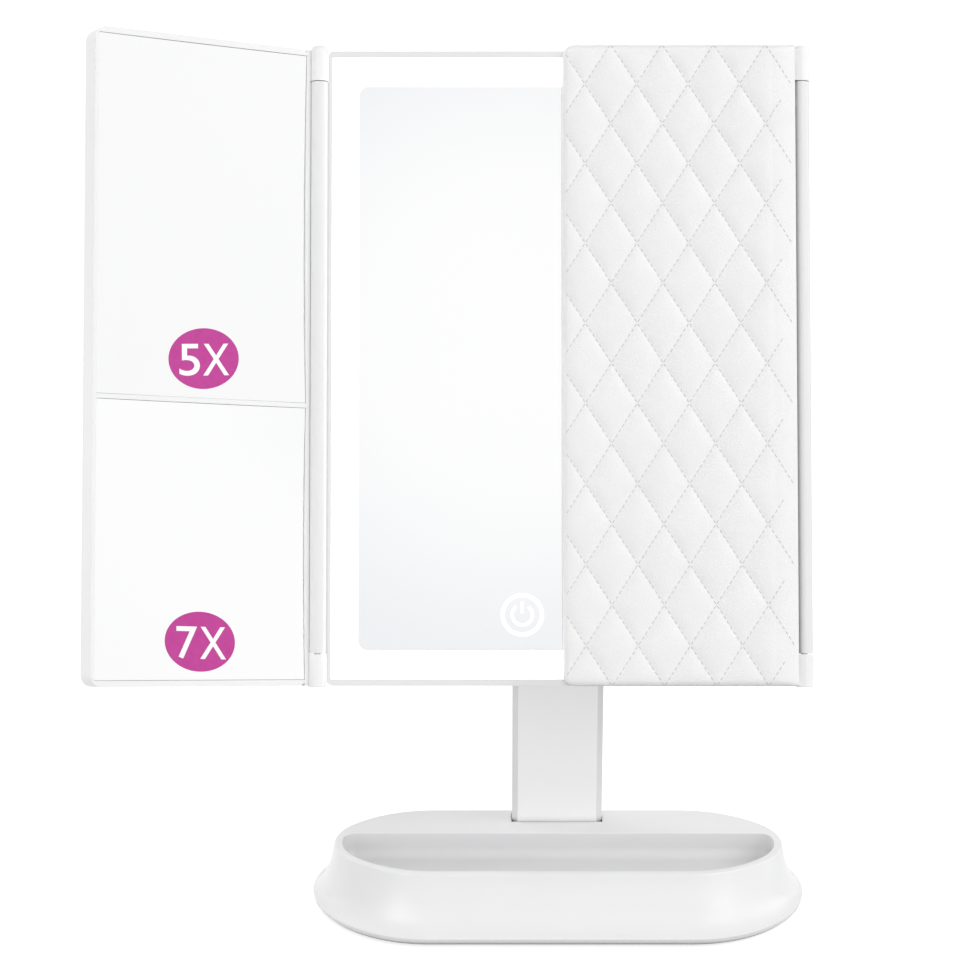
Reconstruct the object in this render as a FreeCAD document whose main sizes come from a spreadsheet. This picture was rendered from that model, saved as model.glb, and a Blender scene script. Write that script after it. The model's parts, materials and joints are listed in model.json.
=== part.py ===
"""Folding lighted makeup mirror: a tray base and post carry a tilting head with a lit centre mirror
and two hinged wings. Millimetres, +Z up, +Y towards the back, origin under the middle of the base."""
import FreeCAD, Part
import math
import os
import Sketcher
from FreeCAD import Placement, Rotation, Vector

doc = FreeCAD.newDocument("folding_lighted_mirror")
sheet = doc.addObject("Spreadsheet::Sheet", "sizes")

# Driving dimensions: each cell of the sheet holds one plain number, named by its alias.
SIZES = {
    # stand
    "base_height": 28.6,
    "base_lift": 0.7,
    "base_length": 234.0,
    "base_depth": 109.0,
    "base_foot_tip_drop": 8.5,
    "base_foot_shoulder_gain": 1.5,
    "base_waist_height": 14.5,
    "base_waist_inset_x": 7.0,
    "base_waist_inset_y": 12.0,
    "base_waist_tip_drop": 6.5,
    "base_waist_shoulder_gain": 12.5,
    "base_top_inset_x": 10.4,
    "base_top_inset_y": 18.5,
    "base_top_tip_drop": 8.0,
    "base_top_shoulder_gain": 18.6,
    "base_foot_round": 4.2,
    "base_rim_round": 1.0,
    "tray_rim_width": 4.0,
    "tray_back_share": 0.25,
    "tray_corner_radius": 6.0,
    "tray_floor_step": 1.0,
    "tray_floor_thickness": 2.2,
    "cavity_end_wall": 6.0,
    "cavity_side_wall": 3.5,
    "rear_cavity_end_margin": 41.6,
    "rear_cavity_wall": 4.0,
    "rear_cavity_margin": 5.0,
    "deck_thickness": 5.0,
    "pad_thickness": 1.5,
    "bottom_plate_thickness": 2.0,
    "plate_clearance": 0.3,
    "pad_margin": 2.0,
    "ballast_gap": 13.0,
    "ballast_margin": 5.0,
    "ballast_thickness": 5.0,
    "ballast_corner_radius": 4.0,
    "base_boss_radius": 4.0,
    "base_boss_end_inset": 16.0,
    "base_boss_side_inset": 23.0,
    "post_width": 43.5,
    "post_thickness": 10.0,
    "post_back_margin": 3.7,
    "post_chamfer": 2.8,
    "post_wall": 1.8,
    "post_socket_depth": 2.0,
    "post_socket_clearance": 0.15,
    "spine_width": 30.0,
    "spine_thickness": 3.0,
    "spine_clearance": 0.2,
    "spine_foot_length": 20.0,
    "spine_foot_room": 1.7,
    "spine_screw_spacing": 18.0,
    # tilt pivot
    "pivot_height": 164.5,
    "pin_radius": 2.0,
    "pin_running_clearance": 0.05,
    "pin_press_clearance": 0.02,
    "bush_wall": 0.8,
    "bush_press_clearance": 0.02,
    "eye_wall": 0.9,
    "washer_thickness": 0.8,
    "washer_radius": 4.6,
    "washer_gap": 0.1,
    "ear_thickness": 5.0,
    "ear_radius": 6.5,
    "bracket_thickness": 3.0,
    "bracket_edge_x": 5.0,
    "bracket_edge_z": 6.0,
    "bracket_corner_radius": 4.0,
    "bracket_screw_gap": 4.35,
    "bracket_screw_z": 12.0,
    "cap_thickness": 1.5,
    "cap_radius": 5.2,
    "cap_spigot_length": 1.0,
    "tilt_at_rest": 21.5,
    # head: centre panel
    "pivot_to_hinge": 26.0,
    "pivot_above_edge": 62.0,
    "head_height": 295.0,
    "hinge_spacing": 224.0,
    "hinge_offset": 0.5,
    "barrel_radius": 4.0,
    "barrel_side_gap": 0.3,
    "barrel_web_depth": 3.5,
    "center_corner_radius": 2.5,
    "frame_behind_tray": 1.5,
    "side_rim": 1.6,
    "end_rim": 2.8,
    "front_inset": 0.3,
    "shelf_width": 3.0,
    "shelf_thickness": 1.5,
    "diffuser_thickness": 2.5,
    "light_band_side": 12.8,
    "light_band_end": 13.8,
    "fit_clearance": 0.15,
    "mirror_thickness": 2.0,
    "mirror_corner_radius": 4.0,
    "light_tray_wall": 1.2,
    "light_tray_thickness": 1.5,
    "light_tray_depth": 5.2,
    "plateau_inset": 1.0,
    "plateau_wall": 1.5,
    "plateau_rib": 4.0,
    "plateau_hollow_low": -6.0,
    "strip_width": 6.0,
    "strip_thickness": 0.8,
    "chip_width": 2.8,
    "chip_length": 3.5,
    "chip_thickness": 0.7,
    "chip_pitch": 16.0,
    "electronics_room": 6.7,
    "cover_wall": 1.8,
    "cover_round": 4.0,
    "cover_screw_side_inset": 10.1,
    "cover_screw_end_inset": 14.0,
    "boss_radius": 3.0,
    "screw_radius": 1.4,
    "screw_hole_clearance": 0.05,
    "screw_head_radius": 2.6,
    "screw_head_height": 1.2,
    "screw_length": 6.0,
    "board_length": 46.0,
    "board_height": 24.0,
    "board_thickness": 1.2,
    "board_standoff": 1.0,
    "board_x": 42.0,
    "board_above_edge": 4.0,
    "socket_width": 8.9,
    "socket_thickness": 3.2,
    "socket_depth": 7.4,
    "socket_corner_radius": 1.1,
    "socket_wall": 0.4,
    "socket_clearance": 0.2,
    "battery_length": 62.0,
    "battery_thickness": 5.0,
    "battery_corner_radius": 3.0,
    "battery_x": -34.0,
    "battery_above_edge": 8.0,
    "battery_below_bosses": 3.0,
    "lead_radius": 0.8,
    "lead_pitch": 3.0,
    "touch_x": -18.0,
    "touch_above_mirror_edge": 16.0,
    "touch_radius": 10.0,
    "touch_thickness": 0.4,
    # wings
    "wing_meeting_gap": 0.8,
    "wing_hinge_gap": 4.3,
    "wing_frame_depth": 12.0,
    "wing_side_rim": 1.8,
    "wing_corner_radius": 5.5,
    "knuckle_length": 14.5,
    "knuckle_top_overhang": 2.2,
    "knuckle_bottom_overhang": 0.6,
    "knuckle_land": 0.1,
    "knuckle_gap": 0.3,
    "knuckle_web_depth": 3.5,
    "hinge_pin_radius": 1.5,
    "hinge_pin_embed": 12.0,
    "divider_height": 67.0,
    "divider_width": 2.2,
    "divider_depth": 3.1,
    "magnifier_thickness": 4.0,
    "dish_depth": 2.6,
    "panel_thickness": 2.0,
    "panel_wall": 1.5,
    "panel_rib_width": 6.0,
    "foam_thickness": 2.0,
    "foam_margin": 4.0,
    "leather_thickness": 4.0,
    "leather_hinge_edge": 2.8,
    "leather_edge_land": 0.8,
    "quilt_pitch_x": 24.0,
    "quilt_rows": 8.0,
    "quilt_groove_width": 8.0,
    "quilt_groove_depth": 1.3,
    "left_wing_from_level": 30.0,
    "right_wing_from_level": 180.0,
}


class Size:
    """A length with the sheet expression that drives it."""

    def __init__(self, value, text):
        self.value = value
        self.text = text

    def __add__(self, other):
        other = as_size(other)
        return Size(self.value + other.value, f"({self.text} + {other.text})")

    def __sub__(self, other):
        other = as_size(other)
        return Size(self.value - other.value, f"({self.text} - {other.text})")

    def __mul__(self, other):
        other = as_size(other)
        return Size(self.value * other.value, f"({self.text} * {other.text})")

    def __truediv__(self, other):
        other = as_size(other)
        return Size(self.value / other.value, f"({self.text} / {other.text})")

    def __neg__(self):
        return Size(-self.value, f"(-{self.text})")


def as_size(number):
    """Any number as a Size."""
    return number if isinstance(number, Size) else Size(float(number), f"({float(number)})")


def read_sheet():
    """Writes the driving dimensions into the sheet and returns them as Sizes."""
    for row, (alias, number) in enumerate(SIZES.items(), start=1):
        sheet.set(f"A{row}", alias.replace("_", " "))
        sheet.set(f"B{row}", str(number))
        sheet.setAlias(f"B{row}", alias)
    doc.recompute()
    return {alias: Size(float(sheet.get(alias)), f"sizes.{alias}") for alias in SIZES}


S = read_sheet()
PLANES = {"X": "YZ_Plane", "Y": "XZ_Plane", "Z": "XY_Plane"}
START, END, CENTER = 1, 2, 3
ORIGIN_POINT = (-1, 1)
ROLL_ANGLES = (0, 30, 60, 90)
parts = []


# Sketches

def bind(sketch, kind, refs, size):
    """Adds a driving constraint whose value follows the sheet."""
    size = as_size(size)
    index = sketch.addConstraint(Sketcher.Constraint(kind, *refs, size.value))
    sketch.setExpression(f"Constraints[{index}]", size.text)


def new_sketch(body, name, axis, level):
    """A sketch square to an axis, at a level along it."""
    sketch = body.newObject("Sketcher::SketchObject", name)
    plane = next(f for f in body.Origin.OriginFeatures if f.Role == PLANES[axis])
    sketch.AttachmentSupport = [(plane, "")]
    sketch.MapMode = "FlatFace"
    level = as_size(level)
    offset = -level if axis == "Y" else level
    sketch.setExpression("AttachmentOffset.Base.z", offset.text)
    return sketch


def rectangle(low_u, high_u, low_v, high_v):
    """A rectangle between two levels each way."""
    low_u, high_u, low_v, high_v = map(as_size, (low_u, high_u, low_v, high_v))

    def draw(sketch):
        u = (low_u.value, high_u.value)
        v = (low_v.value, high_v.value)
        corners = [Vector(u[0], v[0]), Vector(u[1], v[0]), Vector(u[1], v[1]), Vector(u[0], v[1])]
        lines = [sketch.addGeometry(Part.LineSegment(corners[i], corners[(i + 1) % 4])) for i in range(4)]
        for i in range(4):
            sketch.addConstraint(Sketcher.Constraint("Coincident", lines[i], END, lines[(i + 1) % 4], START))
        for i, kind in enumerate(("Horizontal", "Vertical", "Horizontal", "Vertical")):
            sketch.addConstraint(Sketcher.Constraint(kind, lines[i]))
        bind(sketch, "DistanceY", (lines[0], START), low_v)
        bind(sketch, "DistanceX", (lines[1], START), high_u)
        bind(sketch, "DistanceY", (lines[2], START), high_v)
        bind(sketch, "DistanceX", (lines[3], START), low_u)
    return draw


def chain(sketch, edges):
    """Joins edges end to end, tangent at each joint. Each entry is an edge, its first and last point."""
    for (edge, _, last), (follower, first, _) in zip(edges, edges[1:] + edges[:1]):
        sketch.addConstraint(Sketcher.Constraint("Tangent", edge, last, follower, first))


def arc(sketch, center, radius, start, end):
    """An arc about a centre, counter-clockwise between two points."""
    angles = [math.atan2(p.y - center.y, p.x - center.x) for p in (start, end)]
    circle = Part.Circle(center, Vector(0, 0, 1), radius)
    return sketch.addGeometry(Part.ArcOfCircle(circle, *angles))


def rounded(low_u, high_u, low_v, high_v, radius):
    """A rectangle with round corners."""
    low_u, high_u, low_v, high_v, radius = map(as_size, (low_u, high_u, low_v, high_v, radius))

    def draw(sketch):
        u, v, r = (low_u.value, high_u.value), (low_v.value, high_v.value), radius.value
        points = [Vector(u[0] + r, v[0]), Vector(u[1] - r, v[0]),
                  Vector(u[1], v[0] + r), Vector(u[1], v[1] - r),
                  Vector(u[1] - r, v[1]), Vector(u[0] + r, v[1]),
                  Vector(u[0], v[1] - r), Vector(u[0], v[0] + r)]
        centers = [Vector(u[1] - r, v[0] + r), Vector(u[1] - r, v[1] - r),
                   Vector(u[0] + r, v[1] - r), Vector(u[0] + r, v[0] + r)]
        lines = [sketch.addGeometry(Part.LineSegment(points[2 * i], points[2 * i + 1])) for i in range(4)]
        arcs = [arc(sketch, centers[i], r, points[2 * i + 1], points[(2 * i + 2) % 8]) for i in range(4)]
        edges = []
        for line, corner in zip(lines, arcs):
            edges += [(line, START, END), (corner, START, END)]
        chain(sketch, edges)
        for i, kind in enumerate(("Horizontal", "Vertical", "Horizontal", "Vertical")):
            sketch.addConstraint(Sketcher.Constraint(kind, lines[i]))
        for corner in arcs[1:]:
            sketch.addConstraint(Sketcher.Constraint("Equal", arcs[0], corner))
        bind(sketch, "Radius", (arcs[0],), radius)
        bind(sketch, "DistanceY", (lines[0], START), low_v)
        bind(sketch, "DistanceX", (lines[1], START), high_u)
        bind(sketch, "DistanceY", (lines[2], START), high_v)
        bind(sketch, "DistanceX", (lines[3], START), low_u)
    return draw


def circle(center_u, center_v, radius):
    """A circle about a point."""
    def draw(sketch):
        u, v, r = map(as_size, (center_u, center_v, radius))
        geometry = Part.Circle(Vector(u.value, v.value), Vector(0, 0, 1), r.value)
        index = sketch.addGeometry(geometry)
        bind(sketch, "Radius", (index,), r)
        bind(sketch, "DistanceX", (index, CENTER), u)
        bind(sketch, "DistanceY", (index, CENTER), v)
    return draw


def oval(length, depth, tip_drop, shoulder_gain):
    """A long oval about the origin: two straight sides, and ends drawn with one tip and two shoulder arcs.
    The tip's radius falls short of half the depth by the drop, the shoulders' passes it by the gain."""
    tip_radius = depth / 2 - tip_drop
    shoulder_radius = depth / 2 + shoulder_gain

    def draw(sketch):
        half, r, big = depth.value / 2, tip_radius.value, shoulder_radius.value
        tip_x = length.value / 2 - r
        shoulder_x = tip_x - math.sqrt((big - r) ** 2 - (big - half) ** 2)

        def tip_end(side, end):
            """Where a tip arc meets its shoulder: side is -1 or 1 along X, end -1 or 1 along Y."""
            tip = Vector(side * tip_x, 0)
            shoulder = Vector(side * shoulder_x, end * (half - big))
            return tip + (tip - shoulder).normalize() * r

        front = sketch.addGeometry(Part.LineSegment(Vector(-shoulder_x, -half), Vector(shoulder_x, -half)))
        back = sketch.addGeometry(Part.LineSegment(Vector(shoulder_x, half), Vector(-shoulder_x, half)))
        shoulders = {}
        for side, end in ((1, -1), (1, 1), (-1, 1), (-1, -1)):
            line_point = Vector(side * shoulder_x, end * half)
            ends = (line_point, tip_end(side, end))
            ends = ends if side * end < 0 else ends[::-1]
            center = Vector(side * shoulder_x, end * (half - big))
            shoulders[side, end] = arc(sketch, center, big, *ends)
        tips = {}
        for side in (1, -1):
            tips[side] = arc(sketch, Vector(side * tip_x, 0), r, tip_end(side, -side), tip_end(side, side))
        chain(sketch, [(front, START, END), (shoulders[1, -1], START, END), (tips[1], START, END),
                       (shoulders[1, 1], START, END), (back, START, END), (shoulders[-1, 1], START, END),
                       (tips[-1], START, END), (shoulders[-1, -1], START, END)])
        for line, sign in ((front, -1), (back, 1)):
            sketch.addConstraint(Sketcher.Constraint("Horizontal", line))
            bind(sketch, "DistanceY", (line, START), depth / 2 * sign)
        for side, tip in tips.items():
            bind(sketch, "Radius", (tip,), tip_radius)
            bind(sketch, "DistanceX", (tip, CENTER), (length / 2 - tip_radius) * side)
            bind(sketch, "DistanceY", (tip, CENTER), 0)
        for shoulder in shoulders.values():
            bind(sketch, "Radius", (shoulder,), shoulder_radius)
    return draw


def tray_outline():
    """The tray: the rim's oval drawn in by the rim's width at the front, straight at the back."""
    half_depth = top_half_depth - S["tray_rim_width"]
    tip_radius = half_depth - S["base_top_tip_drop"]
    shoulder_radius = half_depth + S["base_top_shoulder_gain"]
    tip_center = top_half_length - S["tray_rim_width"] - tip_radius
    corner_radius = S["tray_corner_radius"]

    def draw(sketch):
        r, big, half, tip_x = tip_radius.value, shoulder_radius.value, half_depth.value, tip_center.value
        rc, yb = corner_radius.value, tray_back.value
        shoulder_x = tip_x - math.sqrt((big - r) ** 2 - (big - half) ** 2)
        corner_x = tip_x + math.sqrt((r - rc) ** 2 - (yb - rc) ** 2)
        front = sketch.addGeometry(Part.LineSegment(Vector(-shoulder_x, -half), Vector(shoulder_x, -half)))
        rear = sketch.addGeometry(Part.LineSegment(Vector(corner_x, yb), Vector(-corner_x, yb)))
        ring = {}
        for side in (1, -1):
            tip = Vector(side * tip_x, 0)
            shoulder = Vector(side * shoulder_x, big - half)
            corner = Vector(side * corner_x, yb - rc)
            low = tip + (tip - shoulder).normalize() * r
            high = tip + (corner - tip).normalize() * r
            runs = [(shoulder, big, Vector(side * shoulder_x, -half), low), (tip, r, low, high),
                    (corner, rc, high, Vector(side * corner_x, yb))]
            ring[side] = [arc(sketch, c, rad, *((a, b) if side > 0 else (b, a))) for c, rad, a, b in runs]
        order = [front] + ring[1] + [rear] + ring[-1][::-1]
        chain(sketch, [(edge, START, END) for edge in order])
        for line, level in ((front, -half_depth), (rear, tray_back)):
            sketch.addConstraint(Sketcher.Constraint("Horizontal", line))
            bind(sketch, "DistanceY", (line, START), level)
        for side, (shoulder, tip, corner) in ring.items():
            bind(sketch, "Radius", (shoulder,), shoulder_radius)
            bind(sketch, "Radius", (tip,), tip_radius)
            bind(sketch, "Radius", (corner,), corner_radius)
            bind(sketch, "DistanceX", (tip, CENTER), tip_center * side)
            bind(sketch, "DistanceY", (tip, CENTER), 0)
    return draw


def round_end(base_u, low_v, high_v):
    """A plate from a level to a half round about the origin."""
    base_u, low_v, high_v = map(as_size, (base_u, low_v, high_v))

    def draw(sketch):
        start, low = Vector(base_u.value, low_v.value), Vector(0, low_v.value)
        high, stop = Vector(0, high_v.value), Vector(base_u.value, high_v.value)
        lower = sketch.addGeometry(Part.LineSegment(start, low))
        nose = arc(sketch, Vector(0, 0), high.y, low, high)
        upper = sketch.addGeometry(Part.LineSegment(high, stop))
        root = sketch.addGeometry(Part.LineSegment(stop, start))
        sketch.addConstraint(Sketcher.Constraint("Tangent", lower, END, nose, START))
        sketch.addConstraint(Sketcher.Constraint("Tangent", nose, END, upper, START))
        sketch.addConstraint(Sketcher.Constraint("Coincident", upper, END, root, START))
        sketch.addConstraint(Sketcher.Constraint("Coincident", root, END, lower, START))
        sketch.addConstraint(Sketcher.Constraint("Coincident", nose, CENTER, *ORIGIN_POINT))
        sketch.addConstraint(Sketcher.Constraint("Horizontal", lower))
        sketch.addConstraint(Sketcher.Constraint("Vertical", root))
        bind(sketch, "Radius", (nose,), high_v)
        bind(sketch, "DistanceX", (root, START), base_u)
    return draw


# Solid features

def new_body(label):
    """An empty body for one sub-part."""
    body = doc.addObject("PartDesign::Body", label)
    body.Label = label
    parts.append(body)
    return body


def extrude(body, name, axis, low, high, *outlines):
    """Adds material between two levels along an axis."""
    sketch = new_sketch(body, f"{name}_sketch", axis, low)
    for outline in outlines:
        outline(sketch)
    pad = body.newObject("PartDesign::Pad", name)
    pad.Profile = sketch
    pad.setExpression("Length", (as_size(high) - low).text)
    pad.Reversed = axis == "Y"
    doc.recompute()
    return pad


def cut(body, name, axis, low, high, *outlines):
    """Takes material away between two levels along an axis."""
    before = body.Shape.Volume
    sketch = new_sketch(body, f"{name}_sketch", axis, low)
    for outline in outlines:
        outline(sketch)
    pocket = body.newObject("PartDesign::Pocket", name)
    pocket.Profile = sketch
    pocket.setExpression("Length", (as_size(high) - low).text)
    pocket.Reversed = axis != "Y"
    doc.recompute()
    if body.Shape.Volume >= before:
        raise RuntimeError(f"{body.Label}: {name} cuts nothing")
    return pocket


def round_edges(body, name, radius, chosen):
    """Rounds the edges of the body's tip that the test picks."""
    tip = body.Tip
    names = [f"Edge{i}" for i, edge in enumerate(tip.Shape.Edges, start=1) if chosen(edge)]
    fillet = body.newObject("PartDesign::Fillet", name)
    fillet.Base = (tip, names)
    fillet.setExpression("Radius", as_size(radius).text)
    doc.recompute()
    return fillet


def chamfer_edges(body, name, width, chosen):
    """Chamfers the edges of the body's tip that the test picks."""
    tip = body.Tip
    names = [f"Edge{i}" for i, edge in enumerate(tip.Shape.Edges, start=1) if chosen(edge)]
    chamfer = body.newObject("PartDesign::Chamfer", name)
    chamfer.Base = (tip, names)
    chamfer.setExpression("Size", as_size(width).text)
    doc.recompute()
    return chamfer


def lies_at(axis, level):
    """A test for edges that lie in the plane at a level along an axis."""
    value = as_size(level).value
    low, high = {"X": ("XMin", "XMax"), "Y": ("YMin", "YMax"), "Z": ("ZMin", "ZMax")}[axis]

    def chosen(edge):
        box = edge.BoundBox
        return abs(getattr(box, low) - value) < 1e-4 and abs(getattr(box, high) - value) < 1e-4
    return chosen


def screws(label, axis, head_level, direction, places, length):
    """A group of button-head screws: heads on a level, shanks running along the direction from it."""
    head_level = as_size(head_level)
    group = doc.addObject("Part::Compound", label)
    solids = []
    for number, place in enumerate(places):
        shank = doc.addObject("Part::Cylinder", f"{label}_shank_{number}")
        shank.setExpression("Radius", S["screw_radius"].text)
        shank.setExpression("Height", as_size(length).text)
        head = doc.addObject("Part::Cylinder", f"{label}_head_{number}")
        head.setExpression("Radius", S["screw_head_radius"].text)
        head.setExpression("Height", S["screw_head_height"].text)
        point = [as_size(value).value for value in place]
        point.insert("XYZ".index(axis), head_level.value)
        aim = Vector(0, 0, 0)
        setattr(aim, axis.lower(), direction)
        turn = Rotation(Vector(0, 0, 1), aim)
        shank.Placement = Placement(Vector(*point), turn)
        head.Placement = Placement(Vector(*point), Rotation(Vector(0, 0, 1), -aim))
        screw = doc.addObject("Part::Fuse", f"{label}_{number}")
        screw.Base, screw.Tool = head, shank
        solids.append(screw)
    group.Links = solids
    group.Label = label
    parts.append(group)
    doc.recompute()
    return group


def boxes(label, extents):
    """A group of plain blocks. Each entry gives the low and high level along X, Y and Z."""
    group = doc.addObject("Part::Compound", label)
    solids = []
    for number, extent in enumerate(extents):
        block = doc.addObject("Part::Box", f"{label}_{number}")
        corner = []
        for side, (low, high) in zip(("Length", "Width", "Height"), extent):
            block.setExpression(side, (as_size(high) - low).text)
            corner.append(as_size(low).value)
        block.Placement = Placement(Vector(*corner), Rotation())
        solids.append(block)
    group.Links = solids
    group.Label = label
    parts.append(group)
    doc.recompute()
    return group


def span(side, near, far):
    """A stretch outwards to one side, as low and high X: side -1 is the left, 1 the right."""
    near, far = as_size(near), as_size(far)
    return (near, far) if side > 0 else (-far, -near)


# Levels that several sub-parts share

base_top = S["base_height"]
top_half_length = S["base_length"] / 2 - S["base_top_inset_x"]
top_half_depth = S["base_depth"] / 2 - S["base_top_inset_y"]
cavity_half_length = S["base_length"] / 2 - S["base_waist_inset_x"] - S["cavity_end_wall"]
cavity_half_depth = S["base_depth"] / 2 - S["base_waist_inset_y"] - S["cavity_side_wall"]
boss_x = cavity_half_length - S["base_boss_end_inset"]
boss_y = cavity_half_depth - S["base_boss_side_inset"]
plate_top = S["pad_thickness"] + S["bottom_plate_thickness"]
ballast_top = plate_top + S["ballast_thickness"]
spine_foot_top = ballast_top + S["spine_thickness"]
cavity_top = spine_foot_top + S["screw_head_height"] + S["spine_foot_room"]
tray_floor = cavity_top + S["tray_floor_thickness"]
tray_back = top_half_depth * S["tray_back_share"]
rear_cavity_top = base_top - S["deck_thickness"]
post_back = top_half_depth - S["post_back_margin"]
post_front = post_back - S["post_thickness"]
post_middle = post_front + S["post_thickness"] / 2
post_foot = base_top - S["post_socket_depth"]
post_half = S["post_width"] / 2
spine_half = S["spine_width"] / 2
bush_bore = S["pin_radius"] + S["pin_running_clearance"]
bush_radius = bush_bore + S["bush_wall"]
eye_bore = bush_radius + S["bush_press_clearance"]
eye_radius = eye_bore + S["eye_wall"]

# Head levels are counted from the tilt pin's axis.
head_low = -S["pivot_above_edge"]
head_high = head_low + S["head_height"]
hinge_y = -S["pivot_to_hinge"]
hinge_x = S["hinge_spacing"] / 2
front_y = hinge_y + S["hinge_offset"]
frame_half = hinge_x - S["barrel_radius"] - S["barrel_side_gap"]
opening_half = frame_half - S["side_rim"]
opening_low = head_low + S["end_rim"]
opening_high = head_high - S["end_rim"]
glass_y = front_y + S["front_inset"]
mirror_half = opening_half - S["light_band_side"]
mirror_low = opening_low + S["light_band_end"]
mirror_high = opening_high - S["light_band_end"]
mirror_back = glass_y + S["mirror_thickness"]
shelf_y = glass_y + S["diffuser_thickness"]
tray_front = shelf_y + S["shelf_thickness"]
tray_plate_y = mirror_back + S["light_tray_depth"] - S["light_tray_thickness"]
tray_back_y = tray_plate_y + S["light_tray_thickness"]
split_y = tray_back_y + S["frame_behind_tray"]
cover_inner = tray_back_y + S["electronics_room"]
back_y = cover_inner + S["cover_wall"]
barrel_low = head_low + S["knuckle_length"] + S["knuckle_gap"]
barrel_high = head_high - S["knuckle_length"] - S["knuckle_gap"]
bracket_back = back_y + S["bracket_thickness"]
ear_inner = post_half + S["washer_gap"] + S["washer_thickness"]
ear_outer = ear_inner + S["ear_thickness"]
bracket_screw_x = ear_outer + S["bracket_screw_gap"]
screw_hole = S["screw_radius"] + S["screw_hole_clearance"]
board_front = tray_back_y + S["board_standoff"]
board_back = board_front + S["board_thickness"]
board_low = head_low + S["board_above_edge"]
battery_low = head_low + S["battery_above_edge"]
battery_high = -S["bracket_screw_z"] - S["boss_radius"] - S["battery_below_bosses"]

# Wing levels are counted from the hinge axis, with the wing level with the centre panel.
wing_front = S["hinge_offset"]
wing_back = wing_front + S["wing_frame_depth"]
wing_glass = wing_front + S["front_inset"]
wing_low_u = S["wing_hinge_gap"]
wing_high_u = hinge_x - S["wing_meeting_gap"]
pocket_low_u = wing_low_u + S["wing_side_rim"]
pocket_high_u = wing_high_u - S["wing_side_rim"]
panel_front = wing_back - S["panel_thickness"]
foam_back = wing_back + S["foam_thickness"]
leather_back = wing_back + S["leather_thickness"]


# Stand

def make_base_shell():
    """The flared base: a loft through three ovals, with the tray, the post's socket and a hollow below."""
    body = new_body("base_shell")
    foot, rim = S["base_foot_round"], S["base_rim_round"]
    brim_level, rim_level = S["base_lift"] + foot, base_top - rim
    quarter = [(math.sin(math.radians(angle)), math.cos(math.radians(angle))) for angle in ROLL_ANGLES]
    foot_roll = [("foot", brim_level - foot * c, foot * (1 - s)) for s, c in quarter]
    rim_roll = [("top", rim_level + rim * s, rim * (1 - c)) for s, c in quarter]
    loft_ovals(body, "foot_roll", foot_roll, True)
    loft_ovals(body, "skirt", [("foot", brim_level, 0), ("waist", S["base_waist_height"], 0),
                               ("top", rim_level, 0)], False)
    loft_ovals(body, "rim_roll", rim_roll, True)
    cut(body, "tray", "Z", tray_floor, base_top, tray_outline())
    floor_round = S["tray_corner_radius"] - S["tray_floor_step"]
    round_edges(body, "tray_floor_round", floor_round, lies_at("Z", tray_floor))
    cut(body, "cavity", "Z", S["base_lift"], cavity_top, cavity_oval(0))
    rear_half = top_half_length - S["rear_cavity_end_margin"]
    rear = rectangle(-rear_half, rear_half, tray_back + S["rear_cavity_wall"],
                     top_half_depth - S["rear_cavity_margin"])
    cut(body, "rear_cavity", "Z", cavity_top, rear_cavity_top, rear)
    reach = S["post_socket_clearance"]
    socket = rectangle(-post_half - reach, post_half + reach, post_front - reach, post_back + reach)
    cut(body, "post_socket", "Z", post_foot, base_top, socket)
    gap = S["spine_clearance"]
    slot_half = S["spine_thickness"] / 2 + gap
    slot = rectangle(-spine_half - gap, spine_half + gap, post_middle - slot_half, post_middle + slot_half)
    cut(body, "spine_slot", "Z", rear_cavity_top, post_foot, slot)
    bosses = [circle(x, y, S["base_boss_radius"]) for x, y in base_screw_places()]
    extrude(body, "bosses", "Z", plate_top, cavity_top, *bosses)
    holes = [circle(x, y, screw_hole) for x, y in base_screw_places()]
    cut(body, "boss_holes", "Z", plate_top, plate_top + S["screw_length"], *holes)


def loft_ovals(body, name, sections, ruled):
    """A loft through ovals of the base. Each entry names the oval, its level and how far it is drawn in."""
    draw_in = {"foot": (as_size(0), as_size(0)),
               "waist": (S["base_waist_inset_x"], S["base_waist_inset_y"]),
               "top": (S["base_top_inset_x"], S["base_top_inset_y"])}
    sketches = []
    for number, (kind, level, inset) in enumerate(sections):
        inset_x, inset_y = (side + inset for side in draw_in[kind])
        sketch = new_sketch(body, f"{name}_{number}", "Z", level)
        oval(S["base_length"] - inset_x * 2, S["base_depth"] - inset_y * 2,
             S[f"base_{kind}_tip_drop"], S[f"base_{kind}_shoulder_gain"])(sketch)
        sketches.append(sketch)
    doc.recompute()
    loft = body.newObject("PartDesign::AdditiveLoft", name)
    loft.Profile = sketches[0]
    loft.Sections = sketches[1:]
    loft.Ruled = ruled
    doc.recompute()


def base_screw_places():
    """Where the bottom plate is screwed to the base shell."""
    return [(boss_x * x, boss_y * y) for x in (-1, 1) for y in (-1, 1)]


def cavity_oval(gap):
    """The outline of the base's underside, drawn in by a gap."""
    tip_drop = S["base_waist_tip_drop"] + S["cavity_end_wall"] - S["cavity_side_wall"]
    return oval((cavity_half_length - gap) * 2, (cavity_half_depth - gap) * 2, tip_drop,
                S["base_waist_shoulder_gain"])


def make_bottom_plate():
    """The plate that closes the base, with recesses for the screw heads."""
    body = new_body("base_bottom_plate")
    extrude(body, "plate", "Z", S["pad_thickness"], plate_top, cavity_oval(S["plate_clearance"]))
    seat_radius = S["screw_head_radius"] + S["screw_hole_clearance"]
    seats = [circle(x, y, seat_radius) for x, y in base_screw_places()]
    cut(body, "head_seats", "Z", S["pad_thickness"], S["pad_thickness"] + S["screw_head_height"], *seats)
    holes = [circle(x, y, screw_hole) for x, y in base_screw_places()]
    cut(body, "holes", "Z", S["pad_thickness"] + S["screw_head_height"], plate_top, *holes)


def make_pad():
    """The rubber sheet that the base stands on."""
    body = new_body("non_slip_pad")
    extrude(body, "sheet", "Z", 0, S["pad_thickness"], cavity_oval(S["pad_margin"]))


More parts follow.
